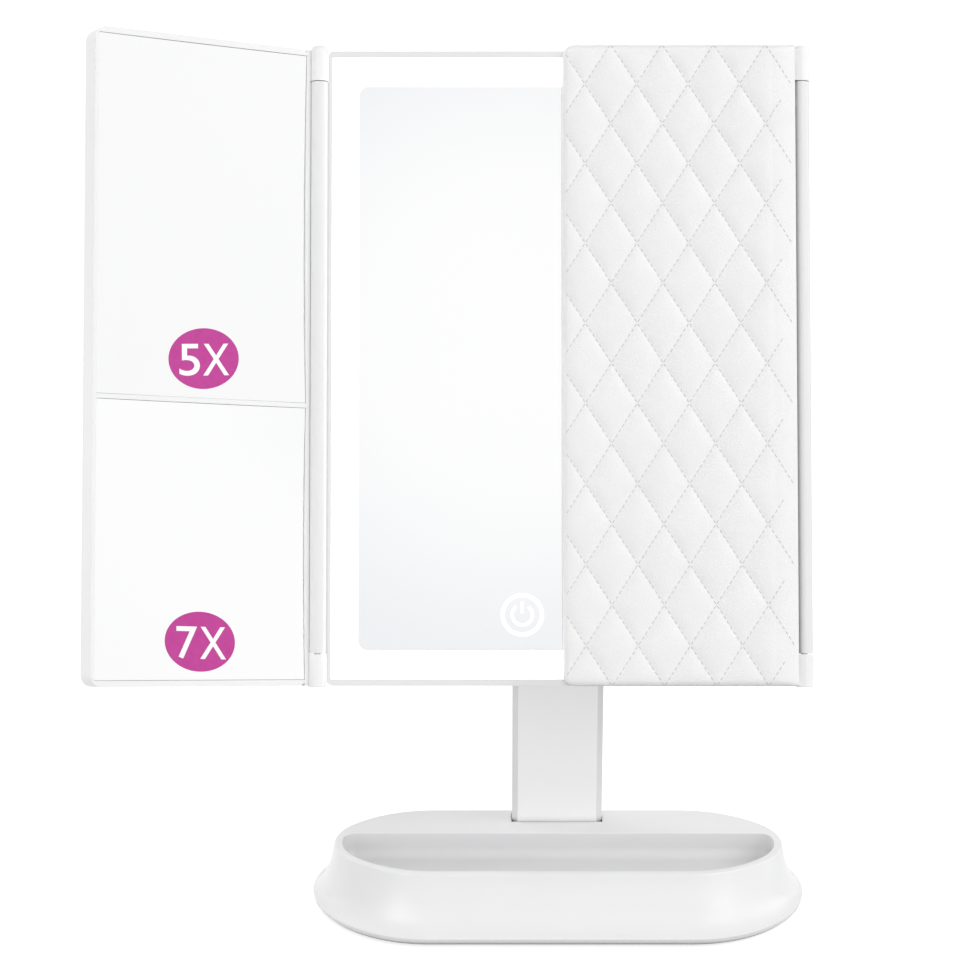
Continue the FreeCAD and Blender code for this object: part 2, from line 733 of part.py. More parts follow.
def spine_screw_places():
    """Where the spine's foot is screwed to the ballast plate."""
    middle = post_middle - S["spine_thickness"] / 2 - S["spine_foot_length"] / 2
    return [(S["spine_screw_spacing"] / 2 * side, middle) for side in (-1, 1)]


def make_ballast():
    """The steel plate that keeps the stand from tipping."""
    body = new_body("ballast_plate")
    half = boss_x - S["ballast_gap"]
    deep = cavity_half_depth - S["ballast_margin"]
    extrude(body, "plate", "Z", plate_top, ballast_top,
            rounded(-half, half, -deep, deep, S["ballast_corner_radius"]))
    holes = [circle(x, y, screw_hole) for x, y in spine_screw_places()]
    cut(body, "holes", "Z", plate_top, ballast_top, *holes)


def make_spine():
    """The steel bar in the post: a foot on the ballast, and an eye about the tilt pin."""
    body = new_body("post_spine")
    half = S["spine_thickness"] / 2
    extrude(body, "bar", "X", -spine_half, spine_half,
            rectangle(post_middle - half, post_middle + half, ballast_top, S["pivot_height"]))
    extrude(body, "foot", "Z", ballast_top, spine_foot_top,
            rectangle(-spine_half, spine_half, post_middle - half - S["spine_foot_length"], post_middle))
    extrude(body, "eye", "X", -spine_half, spine_half, circle(post_middle, S["pivot_height"], eye_radius))
    cut(body, "eye_bore", "X", -spine_half, spine_half, circle(post_middle, S["pivot_height"], eye_bore))
    holes = [circle(x, y, screw_hole) for x, y in spine_screw_places()]
    cut(body, "foot_holes", "Z", ballast_top, spine_foot_top, *holes)


def make_post_shell(label, side):
    """One half of the post's casing: side -1 is the front half, 1 the back half."""
    body = new_body(label)
    outer = post_middle + S["post_thickness"] / 2 * side
    low_y, high_y = (outer, post_middle) if side < 0 else (post_middle, outer)
    radius = S["post_thickness"] / 2
    extrude(body, "wall", "X", -post_half, post_half,
            rectangle(low_y, high_y, post_foot, S["pivot_height"]))
    extrude(body, "crown", "X", -post_half, post_half, circle(post_middle, S["pivot_height"], radius))
    far = post_middle + S["post_thickness"] * -side
    low_cut, high_cut = (post_middle, far) if side < 0 else (far, post_middle)
    cut(body, "half", "X", -post_half, post_half,
        rectangle(low_cut, high_cut, S["pivot_height"] - radius * 2, S["pivot_height"] + radius * 2))
    chamfer_edges(body, "corners", S["post_chamfer"], upright_edges(outer))
    hollow = outer + S["post_wall"] * -side
    low_h, high_h = (hollow, post_middle) if side < 0 else (post_middle, hollow)
    inner_half = spine_half + S["spine_clearance"]
    hollow_top = S["pivot_height"] - radius
    cut(body, "hollow", "X", -inner_half, inner_half, rectangle(low_h, high_h, post_foot, hollow_top))
    cut(body, "eye_room", "X", -inner_half, inner_half,
        circle(post_middle, S["pivot_height"], eye_radius + S["spine_clearance"]))
    neck = eye_radius + S["spine_clearance"]
    cut(body, "neck_room", "X", -inner_half, inner_half,
        rectangle(post_middle - neck, post_middle + neck, hollow_top, S["pivot_height"]))
    cut(body, "bush_hole", "X", -post_half, post_half,
        circle(post_middle, S["pivot_height"], bush_radius + S["spine_clearance"]))


def upright_edges(level):
    """A test for the long upright edges at a level along Y."""
    def chosen(edge):
        box = edge.BoundBox
        at_level = abs(box.YMin - level.value) < 1e-4 and abs(box.YMax - level.value) < 1e-4
        return at_level and box.ZLength > S["post_width"].value
    return chosen


def make_bush():
    """The bush that the tilt pin turns in."""
    body = new_body("pivot_bush")
    center = (post_middle, S["pivot_height"])
    extrude(body, "tube", "X", -post_half, post_half,
            circle(*center, bush_radius), circle(*center, bush_bore))


# Head, about the tilt pin's axis

def make_center_frame():
    """The centre panel's frame: a rim with a shelf for the diffuser, and a hinge barrel on each side."""
    body = new_body("center_frame")
    extrude(body, "rim", "Y", front_y, split_y,
            rounded(-frame_half, frame_half, head_low, head_high, S["center_corner_radius"]),
            rectangle(-opening_half, opening_half, opening_low, opening_high))
    shelf = S["shelf_width"]
    extrude(body, "shelf", "Y", shelf_y, tray_front,
            rectangle(-opening_half, opening_half, opening_low, opening_high),
            rectangle(-opening_half + shelf, opening_half - shelf,
                      opening_low + shelf, opening_high - shelf))
    for side, name in ((-1, "left"), (1, "right")):
        extrude(body, f"{name}_web", "Z", barrel_low, barrel_high,
                rectangle(*span(side, frame_half, hinge_x), front_y, front_y + S["barrel_web_depth"]))
        extrude(body, f"{name}_barrel", "Z", barrel_low, barrel_high,
                circle(hinge_x * side, hinge_y, S["barrel_radius"]))
        bore = circle(hinge_x * side, hinge_y, S["hinge_pin_radius"] + S["pin_running_clearance"])
        depth = S["hinge_pin_embed"] + S["knuckle_gap"]
        cut(body, f"{name}_low_bore", "Z", barrel_low, barrel_low + depth, bore)
        cut(body, f"{name}_high_bore", "Z", barrel_high - depth, barrel_high, bore)


def make_diffuser():
    """The opal ring in front of the light strips."""
    body = new_body("light_diffuser")
    gap = S["fit_clearance"]
    extrude(body, "ring", "Y", glass_y, shelf_y,
            rectangle(-opening_half + gap, opening_half - gap, opening_low + gap, opening_high - gap),
            rounded(-mirror_half - gap, mirror_half + gap, mirror_low - gap, mirror_high + gap,
                    S["mirror_corner_radius"] + gap))


def make_center_mirror():
    """The plain mirror in the middle."""
    body = new_body("center_mirror")
    extrude(body, "glass", "Y", glass_y, mirror_back,
            rounded(-mirror_half, mirror_half, mirror_low, mirror_high, S["mirror_corner_radius"]))


def make_light_tray():
    """The tray behind the light band: its raised middle carries the mirror, its bosses the rear cover."""
    body = new_body("light_tray")
    gap, wall, inset = S["fit_clearance"], S["light_tray_wall"], S["plateau_inset"]
    outer = (-opening_half + gap, opening_half - gap, opening_low + gap, opening_high - gap)
    inner = (-opening_half + gap + wall, opening_half - gap - wall, opening_low + gap + wall,
             opening_high - gap - wall)
    extrude(body, "plate", "Y", tray_plate_y, tray_back_y, rectangle(*outer))
    extrude(body, "wall", "Y", tray_front, tray_plate_y, rectangle(*outer), rectangle(*inner))
    extrude(body, "plateau", "Y", mirror_back, tray_plate_y,
            rounded(-mirror_half + inset, mirror_half - inset, mirror_low + inset, mirror_high - inset,
                    S["mirror_corner_radius"]))
    rib = S["plateau_rib"]
    hollow_half = mirror_half - inset - rib
    hollow_high = mirror_high - inset - rib
    hollow_middle = (S["plateau_hollow_low"] + hollow_high) / 2
    cut(body, "plateau_hollows", "Y", mirror_back + S["plateau_wall"], tray_back_y,
        *[rectangle(low_x, high_x, low_z, high_z)
          for low_x, high_x in ((-hollow_half, -rib / 2), (rib / 2, hollow_half))
          for low_z, high_z in ((S["plateau_hollow_low"], hollow_middle - rib / 2),
                                (hollow_middle + rib / 2, hollow_high))])
    cut(body, "touch_pocket", "Y", mirror_back, mirror_back + S["touch_thickness"],
        circle(S["touch_x"], touch_level(), S["touch_radius"] + gap))
    extrude(body, "bosses", "Y", tray_back_y, cover_inner,
            *[circle(x, z, S["boss_radius"]) for x, z in cover_screws_at()])
    cut(body, "boss_holes", "Y", cover_inner - S["screw_length"] + S["cover_wall"], cover_inner,
        *[circle(x, z, screw_hole) for x, z in cover_screws_at()])
    extrude(body, "standoffs", "Y", tray_back_y, board_front,
            *[circle(x, z, S["boss_radius"]) for x, z in board_corners()])


def touch_level():
    """The touch mark's height."""
    return mirror_low + S["touch_above_mirror_edge"]


def cover_screws_at():
    """Where the rear cover is screwed on."""
    inset = S["cover_screw_end_inset"]
    levels = (head_low + inset, (head_low + head_high) / 2, head_high - inset)
    place = opening_half - S["cover_screw_side_inset"]
    return [(place * side, level) for side in (-1, 1) for level in levels]


def board_corners():
    """Where the control board stands on the light tray."""
    inset = S["boss_radius"]
    sides = (S["board_x"] - S["board_length"] / 2 + inset, S["board_x"] + S["board_length"] / 2 - inset)
    levels = (board_low + inset, board_low + S["board_height"] - inset)
    return [(x, z) for x in sides for z in levels]


def make_light_strips():
    """Four light strips on the tray, with their chips at an even pitch."""
    face, thick = tray_plate_y, S["strip_thickness"]
    board = (face - thick, face)
    inner_x = mirror_half
    outer_x = opening_half - S["fit_clearance"] - S["light_tray_wall"]
    outer_low = opening_low + S["fit_clearance"] + S["light_tray_wall"]
    outer_high = opening_high - S["fit_clearance"] - S["light_tray_wall"]
    half = S["strip_width"] / 2
    upright = (inner_x + outer_x) / 2
    low, high = (mirror_low + outer_low) / 2, (mirror_high + outer_high) / 2
    strips = [((upright * side - half, upright * side + half), board, (mirror_low, mirror_high))
              for side in (-1, 1)]
    strips += [((-inner_x, inner_x), board, (level - half, level + half)) for level in (low, high)]
    boxes("led_strips", strips)
    chip_y = (face - thick - S["chip_thickness"], face - thick)
    wide, tall = S["chip_width"] / 2, S["chip_length"] / 2
    chips = []
    for side in (-1, 1):
        for place in spread(mirror_low, mirror_high):
            chips.append(((upright * side - wide, upright * side + wide), chip_y,
                          (place - tall, place + tall)))
    for level in (low, high):
        for place in spread(-mirror_half, mirror_half):
            chips.append(((place - tall, place + tall), chip_y, (level - wide, level + wide)))
    boxes("led_chips", chips)


def spread(low, high):
    """Places at about the chips' pitch, spaced evenly between two levels."""
    count = int((high.value - low.value) // S["chip_pitch"].value)
    step = (high - low) / count
    return [low + step * (number + 0.5) for number in range(count)]


def make_rear_cover():
    """The back of the head: a shallow shell with round edges, bracket bosses and the charging opening."""
    body = new_body("rear_cover")
    wall = S["cover_wall"]
    extrude(body, "shell", "Y", split_y, back_y,
            rounded(-frame_half, frame_half, head_low, head_high, S["center_corner_radius"]))
    round_edges(body, "back_round", S["cover_round"], lies_at("Y", back_y))
    cut(body, "hollow", "Y", split_y, cover_inner,
        rectangle(-frame_half + wall, frame_half - wall, head_low + wall, head_high - wall))
    bracket_boss = S["screw_length"] - S["bracket_thickness"]
    extrude(body, "bracket_bosses", "Y", back_y - bracket_boss - wall, cover_inner,
            *[circle(x, z, S["boss_radius"]) for x, z in bracket_screws_at()])
    cut(body, "bracket_holes", "Y", back_y - bracket_boss, back_y,
        *[circle(x, z, screw_hole) for x, z in bracket_screws_at()])
    cut(body, "screw_holes", "Y", cover_inner, back_y,
        *[circle(x, z, screw_hole) for x, z in cover_screws_at()])
    gap = S["socket_clearance"]
    half = S["socket_width"] / 2 + gap
    cut(body, "charging_opening", "Z", head_low, head_low + wall,
        rectangle(S["board_x"] - half, S["board_x"] + half, board_back - gap,
                  board_back + S["socket_thickness"] + gap))


def bracket_screws_at():
    """Where the pivot bracket is screwed on."""
    return [(bracket_screw_x * x, S["bracket_screw_z"] * z) for x in (-1, 1) for z in (-1, 1)]


def make_bracket():
    """The plate with two ears that the tilt pin goes through."""
    body = new_body("pivot_bracket")
    half = bracket_screw_x + S["bracket_edge_x"]
    tall = S["bracket_screw_z"] + S["bracket_edge_z"]
    extrude(body, "plate", "Y", back_y, bracket_back,
            rounded(-half, half, -tall, tall, S["bracket_corner_radius"]))
    ear = round_end(bracket_back, -S["ear_radius"], S["ear_radius"])
    extrude(body, "right_ear", "X", ear_inner, ear_outer, ear)
    extrude(body, "left_ear", "X", -ear_outer, -ear_inner, ear)
    bore = circle(0, 0, S["pin_radius"] + S["pin_press_clearance"])
    cut(body, "pin_bore", "X", -ear_outer, ear_outer, bore)
    cut(body, "holes", "Y", back_y, bracket_back,
        *[circle(x, z, screw_hole) for x, z in bracket_screws_at()])


def make_tilt_pin():
    """The pin of the tilt hinge, its friction washers and the caps over its ends."""
    reach = ear_outer - S["cap_spigot_length"]
    pin = new_body("tilt_pin")
    extrude(pin, "pin", "X", -reach, reach, circle(0, 0, S["pin_radius"]))
    for side, name in ((-1, "left"), (1, "right")):
        washer = new_body(f"{name}_friction_washer")
        extrude(washer, "disc", "X", *span(side, post_half + S["washer_gap"], ear_inner),
                circle(0, 0, S["washer_radius"]),
                circle(0, 0, S["pin_radius"] + S["pin_press_clearance"]))
        cap = new_body(f"{name}_pivot_cap")
        extrude(cap, "disc", "X", *span(side, ear_outer, ear_outer + S["cap_thickness"]),
                circle(0, 0, S["cap_radius"]))
        extrude(cap, "spigot", "X", *span(side, reach, ear_outer), circle(0, 0, S["pin_radius"]))


def make_electronics():
    """The control board, its charging socket, the battery, its leads and the touch sensor."""
    half = S["board_length"] / 2
    board = new_body("control_board")
    extrude(board, "board", "Y", board_front, board_back,
            rectangle(S["board_x"] - half, S["board_x"] + half, board_low, board_low + S["board_height"]))
    socket = new_body("charging_socket")
    wide, wall = S["socket_width"] / 2, S["socket_wall"]
    shape = rounded(S["board_x"] - wide, S["board_x"] + wide,
                    board_back, board_back + S["socket_thickness"], S["socket_corner_radius"])
    mouth = head_low + S["socket_clearance"]
    extrude(socket, "shell", "Z", mouth, mouth + S["socket_depth"], shape)
    cut(socket, "mouth", "Z", mouth, mouth + S["socket_depth"] - wall,
        rectangle(S["board_x"] - wide + wall, S["board_x"] + wide - wall, board_back + wall,
                  board_back + S["socket_thickness"] - wall))
    battery = new_body("battery_pack")
    reach = S["battery_length"] / 2
    extrude(battery, "cell", "Y", tray_back_y, tray_back_y + S["battery_thickness"],
            rounded(S["battery_x"] - reach, S["battery_x"] + reach, battery_low, battery_high,
                    S["battery_corner_radius"]))
    leads = new_body("battery_leads")
    middle = board_low + S["board_height"] / 2
    wires = [circle(tray_back_y + S["lead_radius"], middle + S["lead_pitch"] / 2 * side, S["lead_radius"])
             for side in (-1, 1)]
    leads.AllowCompound = True
    extrude(leads, "wires", "X", S["battery_x"] + reach, S["board_x"] - half, *wires)
    sensor = new_body("touch_sensor")
    extrude(sensor, "disc", "Y", mirror_back, mirror_back + S["touch_thickness"],
            circle(S["touch_x"], touch_level(), S["touch_radius"]))


# Wings, about their own hinge axis and level with the centre panel: side -1 is the left wing, 1 the right

def wing_outline(side, low_u):
    """A wing's outline: square at the hinge, with round corners at its free edge."""
    low_x, high_x = span(side, low_u, wing_high_u)
    return rounded(low_x, high_x, head_low, head_high, S["wing_corner_radius"])


def make_wing_frame(name, side, divided):
    """A wing's frame: a deep rim with a knuckle at each end of its hinge edge."""
    body = new_body(f"{name}_wing_frame")
    pocket = span(side, pocket_low_u, pocket_high_u)
    extrude(body, "rim", "Y", wing_front, wing_back, wing_outline(side, wing_low_u),
            rectangle(*pocket, opening_low, opening_high))
    if divided:
        half = S["divider_width"] / 2
        extrude(body, "divider", "Y", wing_front, wing_front + S["divider_depth"],
                rectangle(*pocket, S["divider_height"] - half, S["divider_height"] + half))
    ends = {"low": (head_low - S["knuckle_bottom_overhang"], head_low + S["knuckle_length"]),
            "high": (head_high - S["knuckle_length"], head_high + S["knuckle_top_overhang"])}
    for end, (low, high) in ends.items():
        inner_low, inner_high = (head_low, high) if end == "low" else (low, head_high)
        extrude(body, f"{end}_web", "Z", inner_low, inner_high,
                rectangle(*span(side, 0, wing_low_u + S["wing_side_rim"]), wing_front,
                          wing_front + S["knuckle_web_depth"]))
        extrude(body, f"{end}_knuckle", "Z", low, high, circle(0, 0, S["barrel_radius"]))
    top_round = S["knuckle_top_overhang"] - S["knuckle_land"]
    round_edges(body, "top_dome", top_round, lies_at("Z", ends["high"][1]))
    bottom_round = S["knuckle_bottom_overhang"] - S["knuckle_land"]
    round_edges(body, "bottom_round", bottom_round, lies_at("Z", ends["low"][0]))
    bore = circle(0, 0, S["hinge_pin_radius"] + S["pin_press_clearance"])
    depth = S["hinge_pin_embed"]
    cut(body, "low_bore", "Z", ends["low"][1] - depth, ends["low"][1], bore)
    cut(body, "high_bore", "Z", ends["high"][0], ends["high"][0] + depth, bore)


def make_hinge_pins(name):
    """A wing's two hinge pins, each half in a knuckle and half in the centre panel's barrel."""
    depth = S["hinge_pin_embed"]
    levels = {"lower": head_low + S["knuckle_length"], "upper": head_high - S["knuckle_length"]}
    for end, level in levels.items():
        body = new_body(f"{name}_{end}_hinge_pin")
        extrude(body, "pin", "Z", level - depth, level + depth, circle(0, 0, S["hinge_pin_radius"]))


def make_wing_mirror(label, side, low, high, thickness, dished):
    """One mirror of a wing. A magnifying mirror has a shallow dish over its whole face."""
    body = new_body(label)
    gap = S["fit_clearance"]
    low_x, high_x = span(side, pocket_low_u + gap, pocket_high_u - gap)
    extrude(body, "glass", "Y", wing_glass, wing_glass + thickness,
            rectangle(low_x, high_x, low + gap, high - gap))
    if dished:
        width, height, depth = high_x - low_x, high - low, S["dish_depth"]
        radius = (width * width + height * height) / (depth * 8) + depth / 2
        dish = body.newObject("PartDesign::SubtractiveSphere", "dish")
        dish.setExpression("Radius", radius.text)
        center = ((low_x + high_x) / 2, wing_glass + depth - radius, (low + high) / 2)
        middle = Vector(*(size.value for size in center))
        dish.AttachmentOffset = Placement(middle, Rotation())
        dish.Placement = Placement(middle, Rotation())
        doc.recompute()


def make_wing_panel(name, side, glass_back):
    """The rigid tray inside a wing: its wall and its rib carry the mirrors."""
    body = new_body(f"{name}_wing_panel")
    gap, wall = S["fit_clearance"], S["panel_wall"]
    low_x, high_x = span(side, pocket_low_u + gap, pocket_high_u - gap)
    outer = (low_x, high_x, opening_low + gap, opening_high - gap)
    inner = (low_x + wall, high_x - wall, opening_low + gap + wall, opening_high - gap - wall)
    extrude(body, "plate", "Y", panel_front, wing_back, rectangle(*outer))
    extrude(body, "wall", "Y", glass_back, panel_front, rectangle(*outer), rectangle(*inner))
    half = S["panel_rib_width"] / 2
    extrude(body, "rib", "Y", glass_back, panel_front,
            rectangle(low_x + wall, high_x - wall, S["divider_height"] - half, S["divider_height"] + half))


def make_foam(name, side):
    """The sheet of foam under a wing's cover."""
    body = new_body(f"{name}_foam_pad")
    margin = S["foam_margin"]
    low_x, high_x = span(side, wing_low_u + margin, wing_high_u - margin)
    extrude(body, "sheet", "Y", wing_back, foam_back,
            rounded(low_x, high_x, head_low + margin, head_high - margin, S["wing_corner_radius"]))


def make_leather(name, side):
    """The quilted cover of a wing: a padded sheet with rolled edges, sewn down along crossing diagonals."""
    blank = doc.addObject("PartDesign::Body", f"{name}_leather_blank")
    margin = S["foam_margin"]
    extrude(blank, "sheet", "Y", wing_back, leather_back, wing_outline(side, S["leather_hinge_edge"]))
    roll = S["leather_thickness"] - S["leather_edge_land"]
    round_edges(blank, "rolled_edge", roll, lies_at("Y", leather_back))
    low_x, high_x = span(side, wing_low_u + margin, wing_high_u - margin)
    cut(blank, "foam_room", "Y", wing_back, foam_back,
        rounded(low_x, high_x, head_low + margin, head_high - margin, S["wing_corner_radius"]))
    channels = doc.addObject("Part::Feature", f"{name}_quilt_channels")
    channels.Shape = quilt_channels(side)
    cover = doc.addObject("Part::Cut", f"{name}_leather_cover")
    cover.Base, cover.Tool = blank, channels
    cover.Label = f"{name}_leather_cover"
    parts.append(cover)
    doc.recompute()


def quilt_channels(side):
    """V-shaped channels along both diagonals of the quilt, deep at the seam and open at the face."""
    low, high, back = head_low.value, head_high.value, leather_back.value
    pitch, groove, deep = (S[f"quilt_{size}"].value for size in ("pitch_x", "groove_width", "groove_depth"))
    drift = pitch * round(S["quilt_rows"].value)
    free_edge = wing_high_u.value
    near_edge = S["leather_hinge_edge"].value
    length = math.hypot(drift, high - low)
    lift = Vector(0, deep, 0)
    channels = []
    count = int(math.ceil((free_edge - near_edge + drift) / pitch))
    for lean in (-1, 1):
        for number in range(count + 1):
            start_u = free_edge - number * pitch + (drift if lean < 0 else 0)
            stop_u = start_u + lean * drift
            start, stop = Vector(side * start_u, back, low), Vector(side * stop_u, back, high)
            along = (stop - start).normalize()
            across = along.cross(Vector(0, 1, 0)).normalize()
            start = start - along * groove
            corners = [start - across * groove + lift, start + across * groove + lift, start - lift]
            face = Part.Face(Part.makePolygon(corners + corners[:1]))
            channels.append(face.extrude(along * (length + groove * 2)))
    return Part.makeCompound(channels)


def make_wing(name, side, divided):
    """All of one wing."""
    first = len(parts)
    make_wing_frame(name, side, divided)
    make_hinge_pins(name)
    thickness = S["magnifier_thickness"] if divided else S["mirror_thickness"]
    if divided:
        half = S["divider_width"] / 2
        low, high = S["divider_height"] - half, S["divider_height"] + half
        make_wing_mirror("upper_magnifying_mirror", side, high, opening_high, thickness, True)
        make_wing_mirror("lower_magnifying_mirror", side, opening_low, low, thickness, True)
    else:
        make_wing_mirror(f"{name}_mirror", side, opening_low, opening_high, thickness, False)
    make_wing_panel(name, side, wing_glass + thickness)
    make_foam(name, side)
    make_leather(name, side)
    return parts[first:]


def make_stand():
    """All of the base and post."""
    first = len(parts)
    make_base_shell()
    make_bottom_plate()
    make_pad()
    make_ballast()
    make_spine()
    make_post_shell("post_front_shell", -1)
    make_post_shell("post_rear_shell", 1)
    make_bush()
    seat_level = S["pad_thickness"] + S["screw_head_height"]
    screws("base_screws", "Z", seat_level, 1, base_screw_places(), S["screw_length"])
    screws("spine_screws", "Z", spine_foot_top, -1, spine_screw_places(), S["screw_length"])
    return parts[first:]


def make_head():
    """All of the centre panel and the moving half of the tilt hinge."""
    first = len(parts)
    make_center_frame()
    make_diffuser()
    make_center_mirror()
    make_light_tray()
    make_light_strips()
    make_rear_cover()
    make_bracket()
    make_tilt_pin()
    make_electronics()
    screws("cover_screws", "Y", back_y, -1, cover_screws_at(), S["screw_length"])
    screws("bracket_screws", "Y", bracket_back, -1, bracket_screws_at(), S["screw_length"])
    return parts[first:]


def place(group, placement):
    """Puts a group of sub-parts where it belongs."""
    for part in group:
        part.Placement = placement.multiply(part.Placement)


make_stand()
head = make_head()
left_wing = make_wing("left", -1, True)
right_wing = make_wing("right", 1, False)

# The head leans back about the tilt pin, and each wing turns on its hinge axis.
head_place = Placement(Vector(0, post_middle.value, S["pivot_height"].value),
                       Rotation(Vector(1, 0, 0), -S["tilt_at_rest"].value))
place(head, head_place)
turns = ((left_wing, -1, S["left_wing_from_level"]), (right_wing, 1, S["right_wing_from_level"]))
for wing, side, turn in turns:
    axis = Vector(hinge_x.value * side, hinge_y.value, 0)
    hinge = Placement(axis, Rotation(Vector(0, 0, 1), -side * turn.value))
    place(wing, head_place.multiply(hinge))
doc.recompute()

for thing in doc.Objects:
    if "Invalid" in thing.State or "Error" in thing.State:
        raise RuntimeError(f"{thing.Name} failed: {thing.State}")
for part in parts:
    if part.Shape.isNull() or not part.Shape.isValid():
        raise RuntimeError(f"{part.Label} has no valid shape")

os.makedirs("parts", exist_ok=True)
for part in parts:
    part.Shape.exportStep(f"parts/{part.Label}.step")
    print(part.Label, len(part.Shape.Solids), round(part.Shape.Volume, 1))
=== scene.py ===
# Looks of the folding lighted makeup mirror. Metres, in the row frame: +Z up, +Y towards the back.
import bpy
import json
import math
import numpy as np
from mathutils import Matrix, Vector
from mathutils.bvhtree import BVHTree


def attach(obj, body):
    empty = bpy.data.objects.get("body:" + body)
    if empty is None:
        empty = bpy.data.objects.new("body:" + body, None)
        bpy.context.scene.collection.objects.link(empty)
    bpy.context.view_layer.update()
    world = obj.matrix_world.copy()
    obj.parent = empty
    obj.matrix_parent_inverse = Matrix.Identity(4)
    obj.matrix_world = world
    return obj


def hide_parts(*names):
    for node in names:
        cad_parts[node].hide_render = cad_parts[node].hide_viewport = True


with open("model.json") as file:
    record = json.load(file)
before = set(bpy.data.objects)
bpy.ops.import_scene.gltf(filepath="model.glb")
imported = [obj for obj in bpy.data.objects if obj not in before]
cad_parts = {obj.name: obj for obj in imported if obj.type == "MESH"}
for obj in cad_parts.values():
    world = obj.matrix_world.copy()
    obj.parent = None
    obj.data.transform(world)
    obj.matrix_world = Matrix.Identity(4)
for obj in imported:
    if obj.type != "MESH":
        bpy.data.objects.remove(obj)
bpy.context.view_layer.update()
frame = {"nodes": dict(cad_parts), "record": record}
nodes = frame["nodes"]
bodies = frame["record"]["behaviour"]["bodies"]
body_of_node = {node: body for body, names in bodies.items() for node in names}
slot_of_node = {part["node"]: part["material_slot"] for part in frame["record"]["subparts"]}
scene = bpy.context.scene
MM = 0.001

# Sizes are in millimetres and angles in degrees, unless a comment says otherwise.

# Where the head and the wings stand at rest
TILT_ANGLE = 21.5
PIVOT = (0.0, 27.3, 164.5)
HINGE_X = 112.0
HINGE_Y = -26.0
WING_ANGLE = {-1: 30.0, 1: 180.0}
HEAD_LOW = -62.0
HEAD_HIGH = 233.0

# Moulded parts: the rounding of their edges, and the angles that tell flats, curves and edges apart
SOFT_EDGES = {
    "base_shell": 0.25, "post_front_shell": 0.2, "post_rear_shell": 0.2, "center_frame": 0.35,
    "rear_cover": 0.3, "pivot_bracket": 0.4, "left_wing_frame": 0.4, "right_wing_frame": 0.4,
    "left_pivot_cap": 0.4, "right_pivot_cap": 0.4, "base_bottom_plate": 0.3,
}
WELD_DISTANCE = 0.01
FLAT_ANGLE = 0.5
SMOOTH_ANGLE = 38.0
SHARP_ANGLE = 40.0

# The tray's inside, which gets painted shade, and how far a face's normal leans when it is level or belongs
# to a side of the post, which gets painted shade
TRAY_FRONT = -33.0
TRAY_BACK = 9.2
TRAY_MIDDLE = -12.0
TRAY_FLOOR = 16.0
TRAY_RIM = 28.3
LEVEL_NORMAL = 0.9
POST_SHADE_NORMAL = 0.3

# Quilted covers: u runs from the hinge to the free edge, z along the wing
COVER_NEAR = 3.9
COVER_FAR = 111.2
COVER_BACK = 12.5
COVER_CORNER = 5.5
QUILT_EDGE = 112.8
QUILT_PITCH = 23.75
QUILT_ROWS = 8
QUILT_ROW = (HEAD_HIGH - HEAD_LOW) / QUILT_ROWS
QUILT_RUN = math.hypot(QUILT_PITCH, QUILT_ROW)
QUILT_CELLS = 16
QUILT_FADE = 14.0
FREE_ROLL = 2.2
HINGE_ROLL = 11.0
HINGE_DROP = 0.92
HINGE_CURVE = 1.3
HINGE_LIP = 1.6
FLAT_ROLL = 0.999
SEAM_END = 8.0
SEAM_CREASE = 0.7
SEAM_LEVEL = 2.4
SEAM_TOUCH = 0.001
PILLOW_RISE = 1.6
PILLOW_FULLNESS = 0.8
PILLOW_START = 0.25
PADDING_PRESSURE = 4.0
PADDING_FRAMES = 20
PADDING_ENLARGED = 20.0
LEATHER_STIFFNESS = 1.5
LEATHER_SHEAR = LEATHER_STIFFNESS / 2
LEATHER_BENDING = LEATHER_STIFFNESS / 20

# Stitches: their taper, dip and rise are shares, and their nearest u depends on the lean of their row
STITCH_PITCH = 2.75
STITCH_LENGTH = 2.3
STITCH_THICKNESS = 0.43
STITCH_TAPER = 0.45
STITCH_DIP = 0.8
STITCH_PROUD = 0.2
STITCH_NEAR = {-1: 5.2, 1: 9.9}
STITCH_MARGIN = 0.8
RAY_START = 20.0

# Touch mark: the bar's length and place are shares of the arc, its rounding is a share of the stroke
TOUCH_PLACE = (-17.7, -25.2, -29.4)
TOUCH_RING = 19.8
TOUCH_STROKE = 1.7
POWER_ARC = 10.6
POWER_STROKE = 1.25
POWER_GAP = 36.0
POWER_BAR_LENGTH = 0.5
POWER_BAR_PLACE = 0.33
POWER_BAR_EDGE = 0.3
MARK_RISE = 0.12

# Badges: letters with their middles and widths, the badge's slope, its u and z, its width and height
BADGES = {
    "upper": ([("5", -7.1, 10.1), ("X", 6.0, 12.8)], 0.06, 56.9, 86.3, 34.7, 27.8),
    "lower": ([("7", -6.5, 10.1), ("X", 6.3, 12.7)], -0.02, 57.8, -41.8, 34.4, 27.0),
}
WING_GLASS = 0.8
FILM_LIFT = 0.02
FILM_THICKNESS = 0.15
FILM_RINGS = 5
FILM_RING_SHARE = 0.07
PRINT_THICKNESS = 0.06
FIGURE_HEIGHT = 14.5
FIGURE_BOLD = 0.08
FIGURE_DROP = 0.5

# Screw heads: the rounding and the cross recess are shares of the head's height and radius
COVER_SCREWS = [(x, -9.5, z) for x in (-96.0, 96.0) for z in (-48.0, 85.5, 219.0)]
BRACKET_SCREWS = [(x, -6.5, z) for x in (-32.0, 32.0) for z in (-12.0, 12.0)]
SCREW_RADIUS = 2.6
SCREW_HEIGHT = 1.2
SCREW_EDGE = 0.4
CROSS_ARM = 1.2
CROSS_WIDTH = 0.26
CROSS_DEPTH = 0.65

# Finishes: the part of a pattern's range that shows, and how the painted shade in the gaps between parts
# darkens them
PATTERN_LOW = 0.3
PATTERN_HIGH = 0.7
PLASTIC_SPREAD = 0.02
METAL_SPREAD = 0.08
GAP_REACH = 7.0
GAP_DEEP = 0.1
GAP_OPEN = 0.65
GAP_SHADE = 0.15

